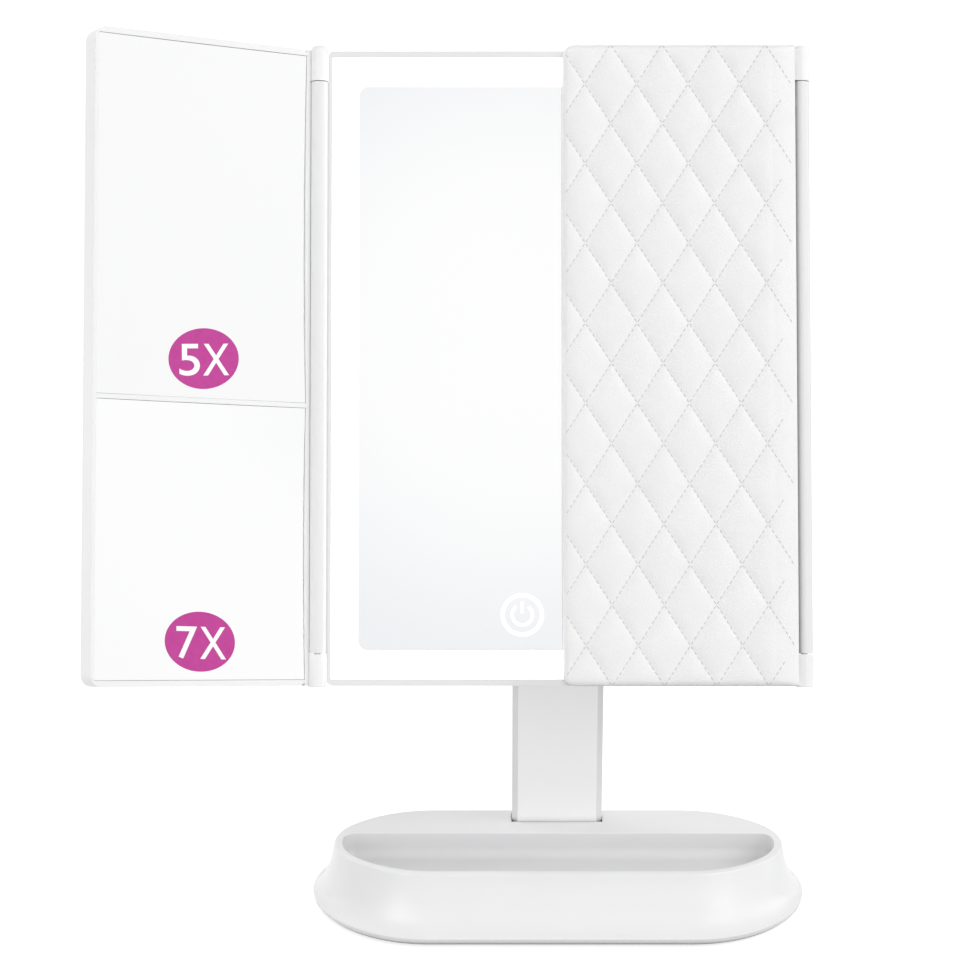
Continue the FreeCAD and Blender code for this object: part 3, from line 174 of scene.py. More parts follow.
# Two tones, gloss and grain of each plastic
PLASTICS = {
    "white_plastic": ((0.872, 0.873, 0.875), (0.882, 0.882, 0.882), 0.32, 0.012),
    "base_plastic": ((0.838, 0.839, 0.841), (0.848, 0.848, 0.848), 0.32, 0.012),
    "frame_plastic": ((0.8, 0.802, 0.804), (0.812, 0.812, 0.812), 0.32, 0.012),
    # The post's front and sides: a lit and a shaded copy of the white plastic, painted light and painted
    # shade
    "post_front_painted_light": ((0.915, 0.916, 0.917), (0.925, 0.925, 0.925), 0.32, 0.012),
    "post_side_painted_shade": ((0.725, 0.726, 0.728), (0.74, 0.74, 0.74), 0.34, 0.012),
    # The tray's inside: a greyer tone, painted shade in the recess
    "tray_painted_shade": ((0.745, 0.745, 0.752), (0.76, 0.76, 0.765), 0.45, 0.02),
    "black_plastic": ((0.03, 0.03, 0.032), (0.05, 0.05, 0.05), 0.55, 0.15),
}

# Two tones and roughness of each metal
METALS = {
    "zinc_steel": ((0.5, 0.51, 0.53), (0.66, 0.66, 0.66), 0.38),
    "nickel_steel": ((0.62, 0.61, 0.58), (0.75, 0.74, 0.71), 0.26),
    "sintered_bronze": ((0.55, 0.36, 0.2), (0.7, 0.5, 0.3), 0.45),
}

# Two tones of each printed film
FILMS = {
    "badge_film": ((0.475, 0.034, 0.27), (0.505, 0.044, 0.292)),
    "badge_print": ((0.95, 0.95, 0.95), (0.98, 0.98, 0.98)),
    "board_mask": ((0.78, 0.79, 0.77), (0.88, 0.88, 0.86)),
    "chip_phosphor": ((0.85, 0.7, 0.25), (0.95, 0.85, 0.4)),
    "cell_wrap": ((0.05, 0.08, 0.14), (0.08, 0.11, 0.18)),
    "lead_sleeve": ((0.35, 0.02, 0.02), (0.5, 0.04, 0.03)),
}

# Camera
CAMERA_PLACE = (-37.18, -1214.04, 603.87)
CAMERA_DIP = 18.0
CAMERA_LENS = 105.0
CAMERA_SENSOR = 36.0

# Floor, its size in metres
FLOOR_SIZE = 12.0
FLOOR_TONE = 0.55
FLOOR_GLOW = 0.74

# Surroundings: azimuth from the front, elevation, outer and inner angle of each part, then its colour
AMBIENT = 0.55
FRONT_LIGHT = 1.0
FRONT_LOBE = (0.0, 8.0, 88.0, 12.0)
SHOWN_LOBES = [
    # A cool grey wall in front with a white panel on it, and a pale wall to the right
    ((0.0, 24.0, 34.0, 22.0), (0.885, 0.893, 0.912)),
    ((1.0, 28.0, 7.0, 0.5), (1.0, 1.0, 1.0)),
    ((80.0, 25.0, 26.0, 5.0), (0.92, 0.92, 0.92)),
    # Tall soft boxes to the left and to the right
    ((-36.0, 22.0, 11.0, 5.0), (6.5, 6.5, 6.5)),
    ((-37.0, 38.0, 11.0, 5.0), (6.5, 6.5, 6.5)),
    ((-46.0, 56.0, 13.0, 5.0), (6.5, 6.5, 6.5)),
    ((38.0, 22.0, 10.0, 4.0), (5.0, 5.0, 5.0)),
    ((41.0, 36.0, 10.0, 4.0), (5.0, 5.0, 5.0)),
    ((56.0, 56.0, 12.0, 4.0), (5.0, 5.0, 5.0)),
    # A small soft box in front and a broad one to the right
    ((10.0, 26.0, 5.0, 3.0), (6.0, 6.0, 6.0)),
    ((105.0, 20.0, 30.0, 10.0), (2.5, 2.5, 2.5)),
    # Low grey walls on either side
    ((-50.0, 10.0, 32.0, 8.0), (0.86, 0.87, 0.89)),
    ((42.0, 4.0, 18.0, 5.0), (0.88, 0.888, 0.905)),
]

# Lamps: place, aim and size in metres, power in watts
LAMPS = {
    "key": ((1.75, -0.42, 1.2), (0, 0, 0.2), 1.0, 14.0),
    "fill": ((-1.5, 1.0, 0.5), (0, 0, 0.2), 1.0, 7.4),
    "rear": ((-0.9, 1.7, 1.1), (0, 0, 0.2), 2.4, 10.5),
    "low_front": ((-0.6, -1.4, 0.22), (0, 0, 0.1), 0.8, 4.4),
}

head_place = Matrix.Translation(Vector(PIVOT) * MM) @ Matrix.Rotation(math.radians(-TILT_ANGLE), 4, "X")


def wing_place(side):
    """Where a wing stands at rest: side -1 is the left wing, 1 the right."""
    hinge = Matrix.Translation(Vector((HINGE_X * side, HINGE_Y, 0)) * MM)
    return head_place @ hinge @ Matrix.Rotation(math.radians(-side * WING_ANGLE[side]), 4, "Z")


# Working on one piece at a time

def add_object(name, data):
    """Puts a mesh, a lamp or a camera into the scene."""
    added = bpy.data.objects.new(name, data)
    scene.collection.objects.link(added)
    return added


def start_on(piece):
    """Makes a piece the only selected one."""
    bpy.ops.object.select_all(action="DESELECT")
    piece.select_set(True)
    bpy.context.view_layer.objects.active = piece


def name_it(name):
    """Names the primitive that was just added."""
    piece = bpy.context.object
    piece.name = name
    piece.data.name = name
    start_on(piece)
    return piece


def apply_modifier(piece, kind, **settings):
    """Adds a modifier and applies it."""
    start_on(piece)
    modifier = piece.modifiers.new(kind.lower(), kind)
    for setting, value in settings.items():
        setattr(modifier, setting, value)
    bpy.ops.object.modifier_apply(modifier=modifier.name)


def stretch(factors):
    """Stretches the mesh of the piece in hand, and leaves it all selected in edit mode."""
    bpy.ops.object.mode_set(mode="EDIT")
    bpy.ops.mesh.select_all(action="SELECT")
    bpy.ops.transform.resize(value=factors)


def settle(piece, place):
    """Puts a piece's place into its mesh, so that its object sits at the origin."""
    piece.data.transform(place @ piece.matrix_world)
    piece.matrix_world = Matrix.Identity(4)
    piece.data.update()


def dress(piece, material, body):
    """Gives a piece its finish and the body that it moves with."""
    piece.data.materials.clear()
    piece.data.materials.append(material)
    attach(piece, body)


# Finishes

def new_finish(name):
    """An empty finish: its node tree, its shader and its coordinates."""
    material = bpy.data.materials.new(name)
    material.use_nodes = True
    tree = material.node_tree
    shader = tree.nodes["Principled BSDF"]
    place = tree.nodes.new("ShaderNodeTexCoord").outputs["Object"]
    return material, tree, shader, place


def noise(tree, place, scale, detail):
    """A noise pattern."""
    node = tree.nodes.new("ShaderNodeTexNoise")
    node.inputs["Scale"].default_value = scale
    node.inputs["Detail"].default_value = detail
    tree.links.new(place, node.inputs["Vector"])
    return node.outputs["Fac"]


def blend_colors(tree, factor, low, high):
    """A colour that goes from one tone to another with a pattern."""
    ramp = tree.nodes.new("ShaderNodeValToRGB")
    ramp.color_ramp.elements[0].color = (*low, 1)
    ramp.color_ramp.elements[1].color = (*high, 1)
    ramp.color_ramp.elements[0].position = PATTERN_LOW
    ramp.color_ramp.elements[1].position = PATTERN_HIGH
    tree.links.new(factor, ramp.inputs["Fac"])
    return ramp.outputs["Color"]


def spread_values(tree, factor, low, high):
    """A number that goes from low to high with a pattern."""
    node = tree.nodes.new("ShaderNodeMapRange")
    node.inputs["From Min"].default_value = PATTERN_LOW
    node.inputs["From Max"].default_value = PATTERN_HIGH
    node.inputs["To Min"].default_value = low
    node.inputs["To Max"].default_value = high
    tree.links.new(factor, node.inputs["Value"])
    return node.outputs["Result"]


def bump(tree, shader, height, strength, distance, under=None):
    """Relief on a shader, over any relief that is there already."""
    node = tree.nodes.new("ShaderNodeBump")
    node.inputs["Strength"].default_value = strength
    node.inputs["Distance"].default_value = distance
    tree.links.new(height, node.inputs["Height"])
    if under is not None:
        tree.links.new(under, node.inputs["Normal"])
    tree.links.new(node.outputs["Normal"], shader.inputs["Normal"])
    return node.outputs["Normal"]


def paint_gap_shade(tree, color):
    """Darkens a colour deep in the gaps between parts, as painted shade."""
    depth = tree.nodes.new("ShaderNodeAmbientOcclusion")
    depth.samples = 8
    depth.inputs["Distance"].default_value = GAP_REACH * MM
    fade = tree.nodes.new("ShaderNodeMapRange")
    fade.inputs["From Min"].default_value = GAP_DEEP
    fade.inputs["From Max"].default_value = GAP_OPEN
    fade.inputs["To Min"].default_value = GAP_SHADE
    tree.links.new(depth.outputs["AO"], fade.inputs["Value"])
    shade = tree.nodes.new("ShaderNodeMix")
    shade.data_type = "RGBA"
    shade.blend_type = "MULTIPLY"
    shade.inputs["Factor"].default_value = 1.0
    tree.links.new(color, shade.inputs["A"])
    tree.links.new(fade.outputs["Result"], shade.inputs["B"])
    return shade.outputs["Result"]


def moulded_plastic(name, low, high, gloss, grain):
    """Moulded plastic: slightly uneven tone and gloss, the fine spark-eroded grain of its mould, and painted
    shade in the gaps between parts.
    """
    material, tree, shader, place = new_finish(name)
    tone = blend_colors(tree, noise(tree, place, scale=26.0, detail=3.0), low, high)
    tree.links.new(paint_gap_shade(tree, tone), shader.inputs["Base Color"])
    clouds = noise(tree, place, scale=160.0, detail=3.0)
    sheen = spread_values(tree, clouds, gloss - PLASTIC_SPREAD, gloss + PLASTIC_SPREAD)
    tree.links.new(sheen, shader.inputs["Roughness"])
    bump(tree, shader, noise(tree, place, scale=2400.0, detail=2.0), strength=grain, distance=0.0001)
    return material


def plated_metal(name, low, high, rough):
    """Plated metal with fine turning marks and a little tarnish."""
    material, tree, shader, place = new_finish(name)
    shader.inputs["Metallic"].default_value = 1.0
    tone = blend_colors(tree, noise(tree, place, scale=90.0, detail=4.0), low, high)
    tree.links.new(tone, shader.inputs["Base Color"])
    marks = noise(tree, place, scale=900.0, detail=3.0)
    sheen = spread_values(tree, marks, rough - METAL_SPREAD, rough + METAL_SPREAD)
    tree.links.new(sheen, shader.inputs["Roughness"])
    bump(tree, shader, marks, strength=0.1, distance=0.0001)
    return material


def silvered_glass():
    """Mirror glass: a cool silver with the faint haze of wiped glass."""
    material, tree, shader, place = new_finish("silvered_glass")
    shader.inputs["Metallic"].default_value = 1.0
    haze = noise(tree, place, scale=14.0, detail=4.0)
    tone = blend_colors(tree, haze, low=(0.985, 0.987, 0.99), high=(0.99, 0.99, 0.99))
    tree.links.new(tone, shader.inputs["Base Color"])
    tree.links.new(spread_values(tree, haze, low=0.012, high=0.03), shader.inputs["Roughness"])
    return material


def lit_opal(name):
    """Opal plastic lit from behind, its brightness a little uneven."""
    material, tree, shader, place = new_finish(name)
    glow = noise(tree, place, scale=60.0, detail=1.0)
    tone = blend_colors(tree, glow, low=(0.97, 0.98, 1.0), high=(1.0, 1.0, 1.0))
    tree.links.new(tone, shader.inputs["Base Color"])
    tree.links.new(tone, shader.inputs["Emission Color"])
    tree.links.new(spread_values(tree, glow, low=0.96, high=1.04), shader.inputs["Emission Strength"])
    shader.inputs["Roughness"].default_value = 0.35
    return material


def grained_leather():
    """White coated leather: pebbled grain of about a millimetre, pores and a soft sheen."""
    material, tree, shader, place = new_finish("grained_leather")
    drift = noise(tree, place, scale=500.0, detail=2.0)
    shift = tree.nodes.new("ShaderNodeVectorMath")
    shift.operation = "MULTIPLY_ADD"
    shift.inputs[1].default_value = (0.0006, 0.0006, 0.0006)
    tree.links.new(drift, shift.inputs[0])
    tree.links.new(place, shift.inputs[2])
    pebbles = tree.nodes.new("ShaderNodeTexVoronoi")
    pebbles.feature = "DISTANCE_TO_EDGE"
    pebbles.inputs["Scale"].default_value = 850.0
    tree.links.new(shift.outputs["Vector"], pebbles.inputs["Vector"])
    domes = tree.nodes.new("ShaderNodeMapRange")
    domes.inputs["From Max"].default_value = 0.25
    tree.links.new(pebbles.outputs["Distance"], domes.inputs["Value"])
    pebble = domes.outputs["Result"]
    clouds = noise(tree, place, scale=45.0, detail=4.0)
    tone = blend_colors(tree, clouds, low=(0.866, 0.866, 0.868), high=(0.891, 0.891, 0.891))
    tree.links.new(tone, shader.inputs["Base Color"])
    tree.links.new(spread_values(tree, pebble, low=0.52, high=0.42), shader.inputs["Roughness"])
    grain = bump(tree, shader, pebble, strength=0.5, distance=0.00015)
    pores = noise(tree, place, scale=3200.0, detail=2.0)
    bump(tree, shader, pores, strength=0.08, distance=0.0001, under=grain)
    shader.inputs["Sheen Weight"].default_value = 0.05
    return material


def thread_with_painted_shade():
    """White sewing thread, its tone painted grey as shade in the seam grooves, with the twist of its plies.
    """
    material, tree, shader, place = new_finish("thread_with_painted_shade")
    twist = tree.nodes.new("ShaderNodeTexWave")
    twist.bands_direction = "DIAGONAL"
    twist.inputs["Scale"].default_value = 900.0
    twist.inputs["Distortion"].default_value = 1.5
    tree.links.new(place, twist.inputs["Vector"])
    plies = twist.outputs["Fac"]
    # The white thread's tone is lowered to grey: painted shade of the seam's groove
    tone = blend_colors(tree, plies, low=(0.53, 0.53, 0.53), high=(0.7, 0.7, 0.7))
    tree.links.new(tone, shader.inputs["Base Color"])
    shader.inputs["Roughness"].default_value = 0.7
    bump(tree, shader, plies, strength=0.4, distance=0.0001)
    return material


def printed_film(name, low, high):
    """Printed plastic film."""
    material, tree, shader, place = new_finish(name)
    tone = blend_colors(tree, noise(tree, place, scale=300.0, detail=3.0), low, high)
    tree.links.new(tone, shader.inputs["Base Color"])
    sheen = spread_values(tree, noise(tree, place, scale=80.0, detail=2.0), low=0.38, high=0.48)
    tree.links.new(sheen, shader.inputs["Roughness"])
    return material


def soft_rubber():
    """Matt rubber sheet with a fine diamond tread."""
    material, tree, shader, place = new_finish("soft_rubber")
    tread = tree.nodes.new("ShaderNodeTexChecker")
    tread.inputs["Scale"].default_value = 500.0
    tree.links.new(place, tread.inputs["Vector"])
    dust = noise(tree, place, scale=120.0, detail=4.0)
    tone = blend_colors(tree, dust, low=(0.035, 0.035, 0.037), high=(0.06, 0.06, 0.06))
    tree.links.new(tone, shader.inputs["Base Color"])
    tree.links.new(spread_values(tree, dust, low=0.75, high=0.9), shader.inputs["Roughness"])
    bump(tree, shader, tread.outputs["Fac"], strength=0.5, distance=0.0003)
    return material


def open_foam():
    """Open-cell foam."""
    material, tree, shader, place = new_finish("open_foam")
    sponge = tree.nodes.new("ShaderNodeTexVoronoi")
    sponge.inputs["Scale"].default_value = 700.0
    tree.links.new(place, sponge.inputs["Vector"])
    cells = sponge.outputs["Distance"]
    tone = blend_colors(tree, cells, low=(0.62, 0.62, 0.6), high=(0.85, 0.85, 0.83))
    tree.links.new(tone, shader.inputs["Base Color"])
    shader.inputs["Roughness"].default_value = 0.95
    bump(tree, shader, cells, strength=0.8, distance=0.0005)
    return material


plastics = {name: moulded_plastic(name, *look) for name, look in PLASTICS.items()}
metals = {name: plated_metal(name, *look) for name, look in METALS.items()}
films = {name: printed_film(name, *look) for name, look in FILMS.items()}
lit_mark = lit_opal("lit_mark")
painted_shade_thread = thread_with_painted_shade()

# The finish of each material slot
FINISHES = {
    "white_plastic": plastics["white_plastic"], "black_plastic": plastics["black_plastic"],
    "steel": metals["zinc_steel"], "screw_steel": metals["nickel_steel"], "bronze": metals["sintered_bronze"],
    "circuit_board": films["board_mask"], "led_chip": films["chip_phosphor"],
    "battery_wrap": films["cell_wrap"], "lead_sleeve": films["lead_sleeve"],
    "opal_light": lit_opal("opal_light"), "silver_mirror": silvered_glass(),
    "white_leather": grained_leather(), "rubber_pad": soft_rubber(), "foam": open_foam(),
}


def finish_nodes():
    """Every sub-part of the frame gets the finish of its slot."""
    for node, part in nodes.items():
        part.data.materials.clear()
        part.data.materials.append(FINISHES[slot_of_node[node]])


# Moulded parts with broken edges

def soften_edges(node, edge):
    """A copy of a rigid sub-part whose sharp edges are rounded as a mould rounds them."""
    piece = add_object(f"soft_edged_{node}", nodes[node].data.copy())
    start_on(piece)
    bpy.ops.mesh.customdata_custom_splitnormals_clear()
    bpy.ops.object.mode_set(mode="EDIT")
    bpy.ops.mesh.select_all(action="SELECT")
    bpy.ops.mesh.remove_doubles(threshold=WELD_DISTANCE * MM)
    bpy.ops.mesh.dissolve_limited(angle_limit=math.radians(FLAT_ANGLE))
    bpy.ops.object.mode_set(mode="OBJECT")
    apply_modifier(piece, "BEVEL", width=edge * MM, segments=2, limit_method="ANGLE",
                   angle_limit=math.radians(SHARP_ANGLE), use_clamp_overlap=True, harden_normals=False)
    bpy.ops.object.shade_smooth_by_angle(angle=math.radians(SMOOTH_ANGLE))
    apply_modifier(piece, "WEIGHTED_NORMAL", mode="FACE_AREA_WITH_ANGLE", weight=100, keep_sharp=True)
    dress(piece, FINISHES[slot_of_node[node]], body_of_node[node])
    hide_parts(node)
    return piece


def paint_tray_shade(shell):
    """Gives the base its tone, and the inside of its tray a matt, greyer tone that is painted shade in the
    recess.
    """
    shell.data.materials[0] = plastics["base_plastic"]
    shell.data.materials.append(plastics["tray_painted_shade"])
    for face in shell.data.polygons:
        x, y, z = face.center / MM
        facing_middle = face.normal.x * -x + face.normal.y * (TRAY_MIDDLE - y) > 0
        inward = facing_middle or face.normal.z > LEVEL_NORMAL
        if TRAY_FRONT < y < TRAY_BACK and TRAY_FLOOR < z < TRAY_RIM and inward:
            face.material_index = 1


def paint_post_light_and_shade(shell):
    """Gives the post a brighter front and greyer sides: painted light on the front and painted shade on the
    sides.
    """
    shell.data.materials[0] = plastics["post_front_painted_light"]
    shell.data.materials.append(plastics["post_side_painted_shade"])
    for face in shell.data.polygons:
        if abs(face.normal.x) > POST_SHADE_NORMAL:
            face.material_index = 1


# Quilted covers

def round_off(u, z):
    """Moves points of the cover's square outline onto the round corners of its free edge."""
    mean, tall = (HEAD_LOW + HEAD_HIGH) / 2, (HEAD_HIGH - HEAD_LOW) / 2
    a = np.clip((u - (COVER_FAR - COVER_CORNER)) / COVER_CORNER, 0, 1)
    b = np.clip((np.abs(z - mean) - (tall - COVER_CORNER)) / COVER_CORNER, 0, 1)
    shift_u = a * np.sqrt(1 - b ** 2 / 2) - a
    shift_z = b * np.sqrt(1 - a ** 2 / 2) - b
    return u + shift_u * COVER_CORNER, z + np.sign(z - mean) * shift_z * COVER_CORNER


def edge_roll(u, z):
    """How far the cover stands up near its edges, from 0 at the edge to 1 on the flat."""
    def quarter(distance, reach):
        left = np.clip(1 - distance / reach, 0, 1)
        return np.sqrt(1 - left ** 2)
    free = quarter(COVER_FAR - u, FREE_ROLL)
    hinge = 1 - HINGE_DROP * np.clip(1 - (u - COVER_NEAR) / HINGE_ROLL, 0, 1) ** HINGE_CURVE
    ends = quarter(np.minimum(z - HEAD_LOW, HEAD_HIGH - z), FREE_ROLL)
    return free * hinge * ends * quarter(u - COVER_NEAR, HINGE_LIP)


def seam_phases(u, z):
    """Where points lie between the seams of either diagonal, each from 0 to 1."""
    across, up = (QUILT_EDGE - u) / QUILT_PITCH, (z - HEAD_LOW) / QUILT_ROW
    return (across + up) % 1.0, (across - up) % 1.0


def pillow(u, z):
    """The swell of the padding between the seams, from 0 at a seam to 1 in the middle of a diamond."""
    swell = np.ones_like(u)
    for phase in seam_phases(u, z):
        swell *= 4 * phase * (1 - phase)
    return swell ** PILLOW_FULLNESS


def quilt_faces(columns, rows):
    """The diamond-shaped faces of a sheet whose edges run along the seams."""
    def corner(i, j):
        return i * (rows + 1) + j

    def middle(i, j):
        inside = 0 <= i < columns and 0 <= j < rows
        return [(columns + 1) * (rows + 1) + i * rows + j] if inside else []

    faces = []
    for i in range(columns + 1):
        for j in range(rows):
            faces.append([corner(i, j)] + middle(i, j) + [corner(i, j + 1)] + middle(i - 1, j))
    for i in range(columns):
        for j in range(rows + 1):
            faces.append([corner(i, j)] + middle(i, j - 1) + [corner(i + 1, j)] + middle(i, j))
    return faces


def swell_padding(sheet, held, cap):
    """Lets the padding swell the leather between its seams, each point by no more than its cap."""
    before = np.array([vertex.co.y for vertex in sheet.data.vertices])
    sheet.data.transform(Matrix.Scale(PADDING_ENLARGED, 4))
    group = sheet.vertex_groups.new(name="sewn")
    group.add([int(index) for index in np.flatnonzero(held)], 1.0, "REPLACE")
    cloth = sheet.modifiers.new("padding", "CLOTH")
    cloth.settings.vertex_group_mass = group.name
    cloth.settings.effector_weights.gravity = 0
    cloth.settings.use_pressure = True
    cloth.settings.uniform_pressure_force = PADDING_PRESSURE
    cloth.settings.tension_stiffness = LEATHER_STIFFNESS
    cloth.settings.compression_stiffness = LEATHER_STIFFNESS
    cloth.settings.shear_stiffness = LEATHER_SHEAR
    cloth.settings.bending_stiffness = LEATHER_BENDING
    cloth.point_cache.frame_start = 1
    cloth.point_cache.frame_end = PADDING_FRAMES
    for number in range(1, PADDING_FRAMES + 1):
        scene.frame_set(number)
    start_on(sheet)
    bpy.ops.object.modifier_apply(modifier=cloth.name)
    scene.frame_set(1)
    sheet.vertex_groups.clear()
    sheet.data.transform(Matrix.Scale(1 / PADDING_ENLARGED, 4))
    for vertex, low, most in zip(sheet.data.vertices, before, cap):
        if most > 0:
            vertex.co.y = low + most * math.tanh(max(vertex.co.y - low, 0) / most)


def quilt_points():
    """The lattice of a cover's leather: its points' u and z, and its columns and rows."""
    column = QUILT_PITCH / QUILT_CELLS
    first, last = int((QUILT_EDGE - COVER_FAR) / column), int((QUILT_EDGE - COVER_NEAR) / column) + 1
    u_line = np.clip(QUILT_EDGE - column * np.arange(first, last + 1), COVER_NEAR, COVER_FAR)
    z_line = np.linspace(HEAD_LOW, HEAD_HIGH, QUILT_ROWS * QUILT_CELLS + 1)
    corners = np.meshgrid(u_line, z_line, indexing="ij")
    middles = np.meshgrid((u_line[1:] + u_line[:-1]) / 2, (z_line[1:] + z_line[:-1]) / 2, indexing="ij")
    u, z = (np.concatenate([a.ravel(), b.ravel()]) for a, b in zip(corners, middles))
    return u, z, len(u_line) - 1, len(z_line) - 1


def quilted_sheet():
    """The leather of a right-hand cover in the wing's own frame, its rim rolled and its padding swollen."""
    u, z, columns, rows = quilt_points()
    roll = edge_roll(u, z)
    fade = np.clip((u - COVER_NEAR) / QUILT_FADE, 0, 1)
    rise = PILLOW_RISE * roll * fade
    swollen = PILLOW_START
    round_u, round_z = round_off(u, z)
    full = SEAM_LEVEL + PILLOW_RISE * (1 - fade)
    points = np.stack([round_u, COVER_BACK + roll * full + rise * swollen * pillow(u, z), round_z], axis=1)
    mesh = bpy.data.meshes.new("quilted_sheet")
    mesh.from_pydata((points * MM).tolist(), [], quilt_faces(columns, rows))
    sheet = add_object("quilted_sheet", mesh)
    sewn = np.minimum(*[np.minimum(phase, 1 - phase) for phase in seam_phases(u, z)]) < SEAM_TOUCH
    held = (sewn & (u > SEAM_END)) | (roll < FLAT_ROLL)
    swell_padding(sheet, held, rise * (1 - swollen) * MM)
    crease = mesh.attributes.new("crease_edge", "FLOAT", "EDGE")
    for edge, mark in zip(sheet.data.edges, crease.data):
        mark.value = SEAM_CREASE if all(sewn[index] for index in edge.vertices) else 0.0
    apply_modifier(sheet, "SUBSURF", levels=1, render_levels=1)
    bpy.ops.object.mode_set(mode="EDIT")
    bpy.ops.mesh.select_mode(type="EDGE")
    bpy.ops.mesh.select_all(action="DESELECT")
    bpy.ops.mesh.select_non_manifold()
    bpy.ops.mesh.edge_face_add()
    bpy.ops.mesh.select_all(action="SELECT")
    bpy.ops.mesh.normals_make_consistent(inside=False)
    bpy.ops.object.mode_set(mode="OBJECT")
    bpy.ops.object.shade_smooth()
    return sheet


def quilted_cover(name, side, sheet):
    """The padded cover of a wing with its sewing."""
    piece = add_object(f"{name}_quilted_cover", sheet.data.copy())
    piece.data.transform(Matrix.Diagonal((side, 1, 1, 1)))
    if side < 0:
        piece.data.flip_normals()
    quilt_stitches(name, side, piece)
    settle(piece, wing_place(side))
    dress(piece, FINISHES["white_leather"], f"{name}_wing")
    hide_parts(f"{name}_leather_cover", f"{name}_foam_pad")


def stitch_shape():
    """One stitch: a short thread whose ends dip into the leather."""
    bpy.ops.mesh.primitive_cylinder_add(vertices=6, radius=STITCH_THICKNESS / 2, depth=STITCH_LENGTH)
    stitch = name_it("stitch")
    bpy.ops.object.mode_set(mode="EDIT")
    for cut in (-STITCH_LENGTH / 4, STITCH_LENGTH / 4):
        bpy.ops.mesh.select_all(action="SELECT")
        bpy.ops.mesh.bisect(plane_co=(0, 0, cut), plane_no=(0, 0, 1))
    bpy.ops.object.mode_set(mode="OBJECT")
    for vertex in stitch.data.vertices:
        share = (abs(vertex.co.z) / (STITCH_LENGTH / 2)) ** 3
        vertex.co.x *= 1 - STITCH_TAPER * share
        vertex.co.y = vertex.co.y * (1 - STITCH_TAPER * share) - STITCH_THICKNESS * STITCH_DIP * share
    return stitch


def stitch_middles():
    """The stitches of a cover, row by row: the lean of the row, then u and z of the stitch's middle."""
    count = 2 * round(QUILT_RUN / STITCH_PITCH / 2) * QUILT_ROWS
    step = (HEAD_HIGH - HEAD_LOW) / count
    for lean in (-1, 1):
        for line in range(-QUILT_ROWS, 2 * QUILT_ROWS):
            for number in range(count):
                z = HEAD_LOW + step * (number + 0.5)
                u = QUILT_EDGE - QUILT_PITCH * (line + lean * (z - HEAD_LOW) / QUILT_ROW)
                between_ends = HEAD_LOW + STITCH_MARGIN < z < HEAD_HIGH - STITCH_MARGIN
                if between_ends and STITCH_NEAR[lean] < u < COVER_FAR - STITCH_MARGIN:
                    yield lean, u, z


def quilt_stitches(name, side, cover):
    """The sewn rows of a cover, one thread per stitch, each lying on the leather."""
    stitch = stitch_shape()
    shape = np.array([vertex.co for vertex in stitch.data.vertices])
    shape_faces = [list(face.vertices) for face in stitch.data.polygons]
    bpy.data.objects.remove(stitch)
    surface = BVHTree.FromObject(cover, bpy.context.evaluated_depsgraph_get())

    def on_leather(u, z):
        start = Vector((side * u, COVER_BACK + RAY_START, z)) * MM
        spot = surface.ray_cast(start, Vector((0, -1, 0)))[0]
        return None if spot is None else np.array(spot) / MM

    half = STITCH_LENGTH / 4
    half_u, half_z = QUILT_PITCH / QUILT_RUN * half, QUILT_ROW / QUILT_RUN * half
    points, faces = [], []
    for lean, u, z in stitch_middles():
        low = on_leather(u + lean * half_u, z - half_z)
        high = on_leather(u - lean * half_u, z + half_z)
        if low is None or high is None:
            continue
        along = (high - low) / np.linalg.norm(high - low)
        out = np.array([0.0, 1.0, 0.0]) - along * along[1]
        out /= np.linalg.norm(out)
        across = np.cross(out, along)
        middle = (low + high) / 2 + out * STITCH_THICKNESS * STITCH_PROUD
        first = len(points)
        points.extend(middle + shape[:, :1] * across + shape[:, 1:2] * out + shape[:, 2:] * along)
        faces.extend([[first + index for index in face] for face in shape_faces])
    mesh = bpy.data.meshes.new(f"{name}_quilt_stitches")
    mesh.from_pydata((np.array(points) * MM).tolist(), [], faces)
    piece = add_object(f"{name}_quilt_stitches", mesh)
    start_on(piece)
    bpy.ops.object.mode_set(mode="EDIT")
    bpy.ops.mesh.select_all(action="SELECT")
    bpy.ops.mesh.normals_make_consistent(inside=False)
    bpy.ops.object.mode_set(mode="OBJECT")
    bpy.ops.object.shade_smooth()
    settle(piece, wing_place(side))
    dress(piece, painted_shade_thread, f"{name}_wing")


# Lit touch mark

def flat_ring(name, outer, stroke):
    """A flat raised ring, lying in the plane of the mirror."""
    bpy.ops.mesh.primitive_torus_add(major_radius=(outer - stroke) / 2 * MM, minor_radius=stroke / 2 * MM,
                                     major_segments=96, minor_segments=12, rotation=(math.pi / 2, 0, 0))
    ring = name_it(name)
    bpy.ops.object.transform_apply(rotation=True)
    stretch((1, 2 * MARK_RISE / stroke, 1))
    bpy.ops.object.mode_set(mode="OBJECT")
    return ring


def power_arc():
    """The open arc of the power sign, its ends closed."""
    arc = flat_ring("power_arc", POWER_ARC, POWER_STROKE)
    bpy.ops.object.mode_set(mode="EDIT")
    bpy.ops.mesh.select_mode(type="FACE")
    bpy.ops.mesh.select_all(action="DESELECT")
    bpy.ops.object.mode_set(mode="OBJECT")
    for face in arc.data.polygons:
        face.select = abs(math.atan2(face.center.x, face.center.z)) < math.radians(POWER_GAP)
    bpy.ops.object.mode_set(mode="EDIT")
    bpy.ops.mesh.delete(type="FACE")
    bpy.ops.mesh.select_mode(type="EDGE")
    bpy.ops.mesh.select_non_manifold()
    bpy.ops.mesh.edge_face_add()
    bpy.ops.object.mode_set(mode="OBJECT")
    return arc


